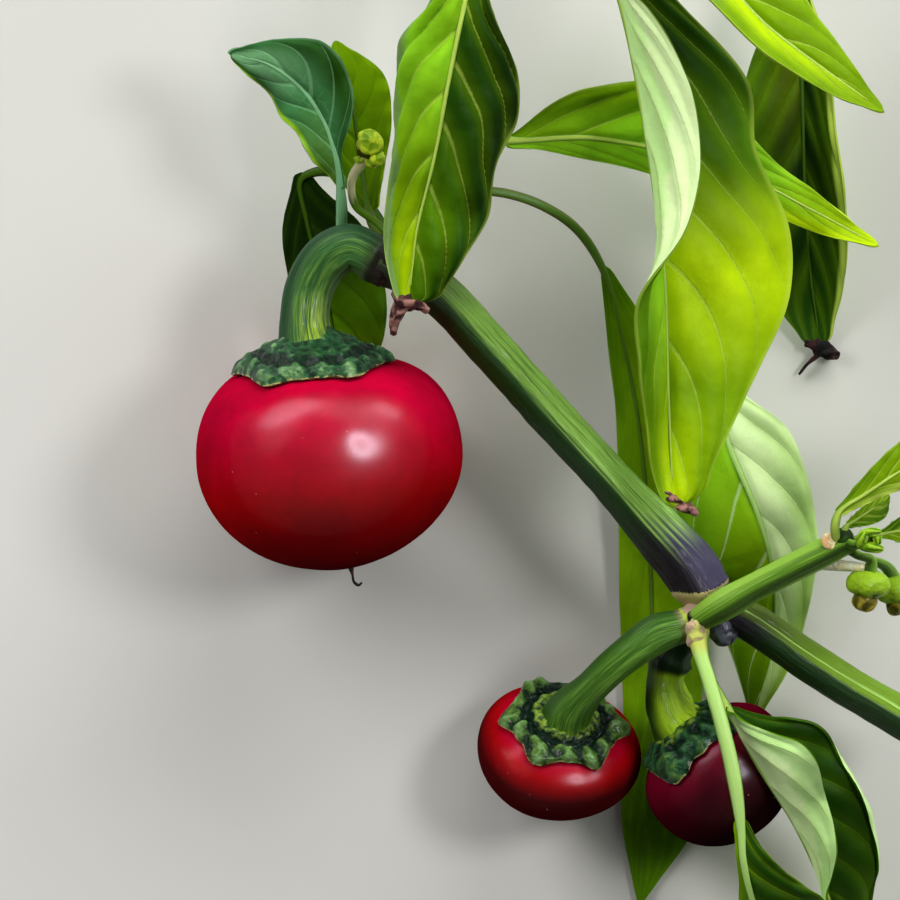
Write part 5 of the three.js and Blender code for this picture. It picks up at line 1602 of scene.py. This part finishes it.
class CHILLI_OT_leaves(bpy.types.Operator):
    """Builds every leaf and leaflet with its petiole and midrib"""
    bl_idname = "chilli.leaves"
    bl_label = "Leaves"

    def execute(self, context):
        sizes = context.scene.chilli_sizes
        shared = {
            "usual": rib_material("petiole_and_rib", "petiole", "petiole_light", "rib"),
            "pale": rib_material("pale_petiole", "petiole", "pale", "pale", "yellow_foot", 6.6),
            "dull": rib_material("dull_petiole", "dull_dark", "dull", "petiole"),
            "blue": rib_material("bluish_rib", "bluish", "vein_blue", "vein_blue"),
            "dark": rib_material("dark_petiole", "shade", "deep", "olive"),
            "dried": withered_material("dried_tip", "dried", "dried_dark"),
            "black": withered_material("black_tip", "dried_dark", "bark"),
        }
        for plan in LEAVES:
            own = {"upper": upper_material(plan), "under": under_material(plan)}
            build_leaf(plan, sizes, {**shared, **own})
        return {"FINISHED"}


class CHILLI_OT_buds(bpy.types.Operator):
    """Builds the flower buds on their thin stalks"""
    bl_idname = "chilli.buds"
    bl_label = "Flower buds"

    def execute(self, context):
        skins = {
            "bud_yellow": bud_material("bud_yellow_skin", "bud_yellow", "bud_green"),
            "bud_green": bud_material("bud_green_skin", "bud_green", "middle"),
            "cup": bud_material("bud_cup_skin", "bud_green", "cup_furrow_shade"),
            "petal": bud_material("petal_skin", "petal", "petal_fold_shade"),
            # The dark lobes in the buds' openings are painted shade.
            "slit": plain_material("bud_slit", 0.7, "cup_furrow_shade", "petal_fold_shade"),
            "green": shoot_material("bud_stalk_skin", 0),
            "cream": rib_material("cream_stalk_skin", "whitish", "cream", "cream", "olive", 10),
            "whitish": plain_material("pale_stalk_skin", 0.5, "whitish", "cream"),
        }
        for plan in BUDS:
            tubes = [(plan.stalk, plan.radii, plan.stalk_skin), *plan.threads]
            parts = [finished(simple_tube(points, radii), f"thread_{plan.node}", [skins[skin]])
                     for points, radii, skin in tubes]
            parts += [finished(ellipsoid(*lobe), f"lobe_{plan.node}", [skins[skin]])
                      for *lobe, skin in plan.lobes]
            piece = placed(joined(parts), plan.node, "flower_bud")
            piece.name = f"closed_{plan.node}"
        return {"FINISHED"}


# Stage

CAMERA_HEIGHT = 1.5
CAMERA_AIM_HEIGHT = 0.022
VIEW_WIDTH = 0.117
SENSOR = 36.0
FAR_END = 10
FLOOR_SIZE = 4
FLOOR_DIMMING = 0.96
SOFT_LIGHTS = [
    # name, direction from the branch, the way its long side runs, distance, width, depth, watts,
    # colour, and whether it lights surfaces and whether glossy ones mirror it
    ("key", (0.58, 0.18, 0.79), (0, 1, 0), 0.9, 0.25, 0.22, 2.8, (1, 0.98, 0.96), True, False),
    ("glint", (0.58, 0.18, 0.79), (0, 1, 0), 0.9, 0.42, 0.36, 7.6, (0.9, 0.86, 1), False, True),
    ("sheen_left", (-0.45, 0.8, 0.36), (0.83, 0.41, 0), 1.1, 1.1, 0.64, 6.0, (1, 0.86, 1), False, True),
    ("sheen_top", (0.5, 0.8, 0.42), (1, 0, 0), 1.2, 2.0, 0.8, 1.2, (1, 0.97, 1), False, True),
    ("sheen_right", (0.68, 0.7, 0.24), (0.7, -0.68, 0), 1.1, 0.56, 0.44, 2.4, (1, 0.88, 1), False, True),
    ("fill_left", (-0.6, 0.45, 0.62), (1, 1, 0), 1.1, 0.9, 0.6, 8.0, (1, 0.99, 0.97), True, False),
    ("sky_top", (0.4, 0.85, 0.42), (1, 0, 0), 1.2, 1.4, 0.7, 14.5, (1, 1, 0.96), True, False),
]
WORLD_LIGHT = 0.09


def lamp_turn(direction, long_side):
    """A lamp's turn: it shines against the direction, with its length along the long side."""
    back = Vector(direction).normalized()
    across = Vector(long_side)
    across = (across - back * across.dot(back)).normalized()
    return Matrix((across, back.cross(across), back)).transposed().to_euler()


def lay_floor():
    """A large plain floor, a little uneven in its grey."""
    t = Finish("floor_paint", 0.8, bump=0.02)
    patches = t.mottle(60.0, 0.2, 0.8)
    dimmer = tuple(FLOOR_DIMMING * part for part in chosen("floor"))
    paint = t.painted(t.mix(patches, "floor", dimmer), patches)
    mesh = bmesh.new()
    bmesh.ops.create_grid(mesh, x_segments=1, y_segments=1, size=FLOOR_SIZE)
    floor = as_object(mesh, "floor", [paint])


def set_world(scene):
    """A dim white world, for an even light from all round."""
    world = bpy.data.worlds.new("studio")
    world.use_nodes = True
    background = world.node_tree.nodes["Background"]
    background.inputs[0].default_value = (1, 1, 1, 1)
    background.inputs[1].default_value = WORLD_LIGHT
    scene.world = world


def hang_lamp(target, name, direction, long_side, distance, width, depth, watts, colour, lighting,
              mirrored):
    """A soft oval lamp that shines at the target."""
    lamp = bpy.data.lights.new(name, "AREA")
    lamp.shape = "ELLIPSE"
    lamp.size = width
    lamp.size_y = depth
    lamp.energy = watts
    lamp.color = colour
    holder = bpy.data.objects.new(name, lamp)
    holder.location = target + Vector(direction).normalized() * distance
    holder.rotation_euler = lamp_turn(direction, long_side)
    holder.visible_diffuse = lighting
    holder.visible_glossy = mirrored
    bpy.context.scene.collection.objects.link(holder)


def set_camera(scene, target):
    """A camera with a long lens that looks straight down on the target."""
    lens = bpy.data.cameras.new("camera")
    lens.sensor_width = SENSOR
    lens.lens = SENSOR * CAMERA_HEIGHT / VIEW_WIDTH
    lens.clip_end = FAR_END
    camera = bpy.data.objects.new("camera", lens)
    camera.location = target + UP * CAMERA_HEIGHT
    scene.collection.objects.link(camera)
    scene.camera = camera
    scene.view_settings.view_transform = "Standard"


class CHILLI_OT_stage(bpy.types.Operator):
    """Sets up the plain floor, the soft lights and the camera that looks straight down"""
    bl_idname = "chilli.stage"
    bl_label = "Stage"

    def execute(self, context):
        target = Vector((ORIGIN.x, ORIGIN.y, CAMERA_AIM_HEIGHT))
        lay_floor()
        set_world(context.scene)
        for row in SOFT_LIGHTS:
            hang_lamp(target, *row)
        set_camera(context.scene, target)
        return {"FINISHED"}


class CHILLI_PT_panel(bpy.types.Panel):
    """Lists the steps that build the branch"""
    bl_label = "Cherry chilli branch"
    bl_idname = "CHILLI_PT_panel"
    bl_space_type = "VIEW_3D"
    bl_region_type = "UI"
    bl_category = "Chilli"

    def draw(self, context):
        layout = self.layout
        for operator in OPERATORS:
            layout.operator(operator.bl_idname)
        for group in (context.scene.chilli_sizes, context.scene.chilli_colours):
            box = layout.box()
            for name in group.bl_rna.properties.keys():
                if name not in ("rna_type", "name"):
                    box.prop(group, name)


OPERATORS = (
    CHILLI_OT_patterns, CHILLI_OT_stems, CHILLI_OT_fruits, CHILLI_OT_stalks, CHILLI_OT_leaves,
    CHILLI_OT_buds, CHILLI_OT_stage,
)
CLASSES = (ChilliSizes, ChilliColours, *OPERATORS, CHILLI_PT_panel)


def register():
    for each in CLASSES:
        bpy.utils.register_class(each)
    bpy.types.Scene.chilli_sizes = PointerProperty(type=ChilliSizes)
    bpy.types.Scene.chilli_colours = PointerProperty(type=ChilliColours)


def unregister():
    del bpy.types.Scene.chilli_colours
    del bpy.types.Scene.chilli_sizes
    for each in reversed(CLASSES):
        bpy.utils.unregister_class(each)


def main():
    register()
    for operator in OPERATORS:
        group, name = operator.bl_idname.split(".")
        getattr(getattr(bpy.ops, group), name)()


if __name__ == "__main__":
    main()
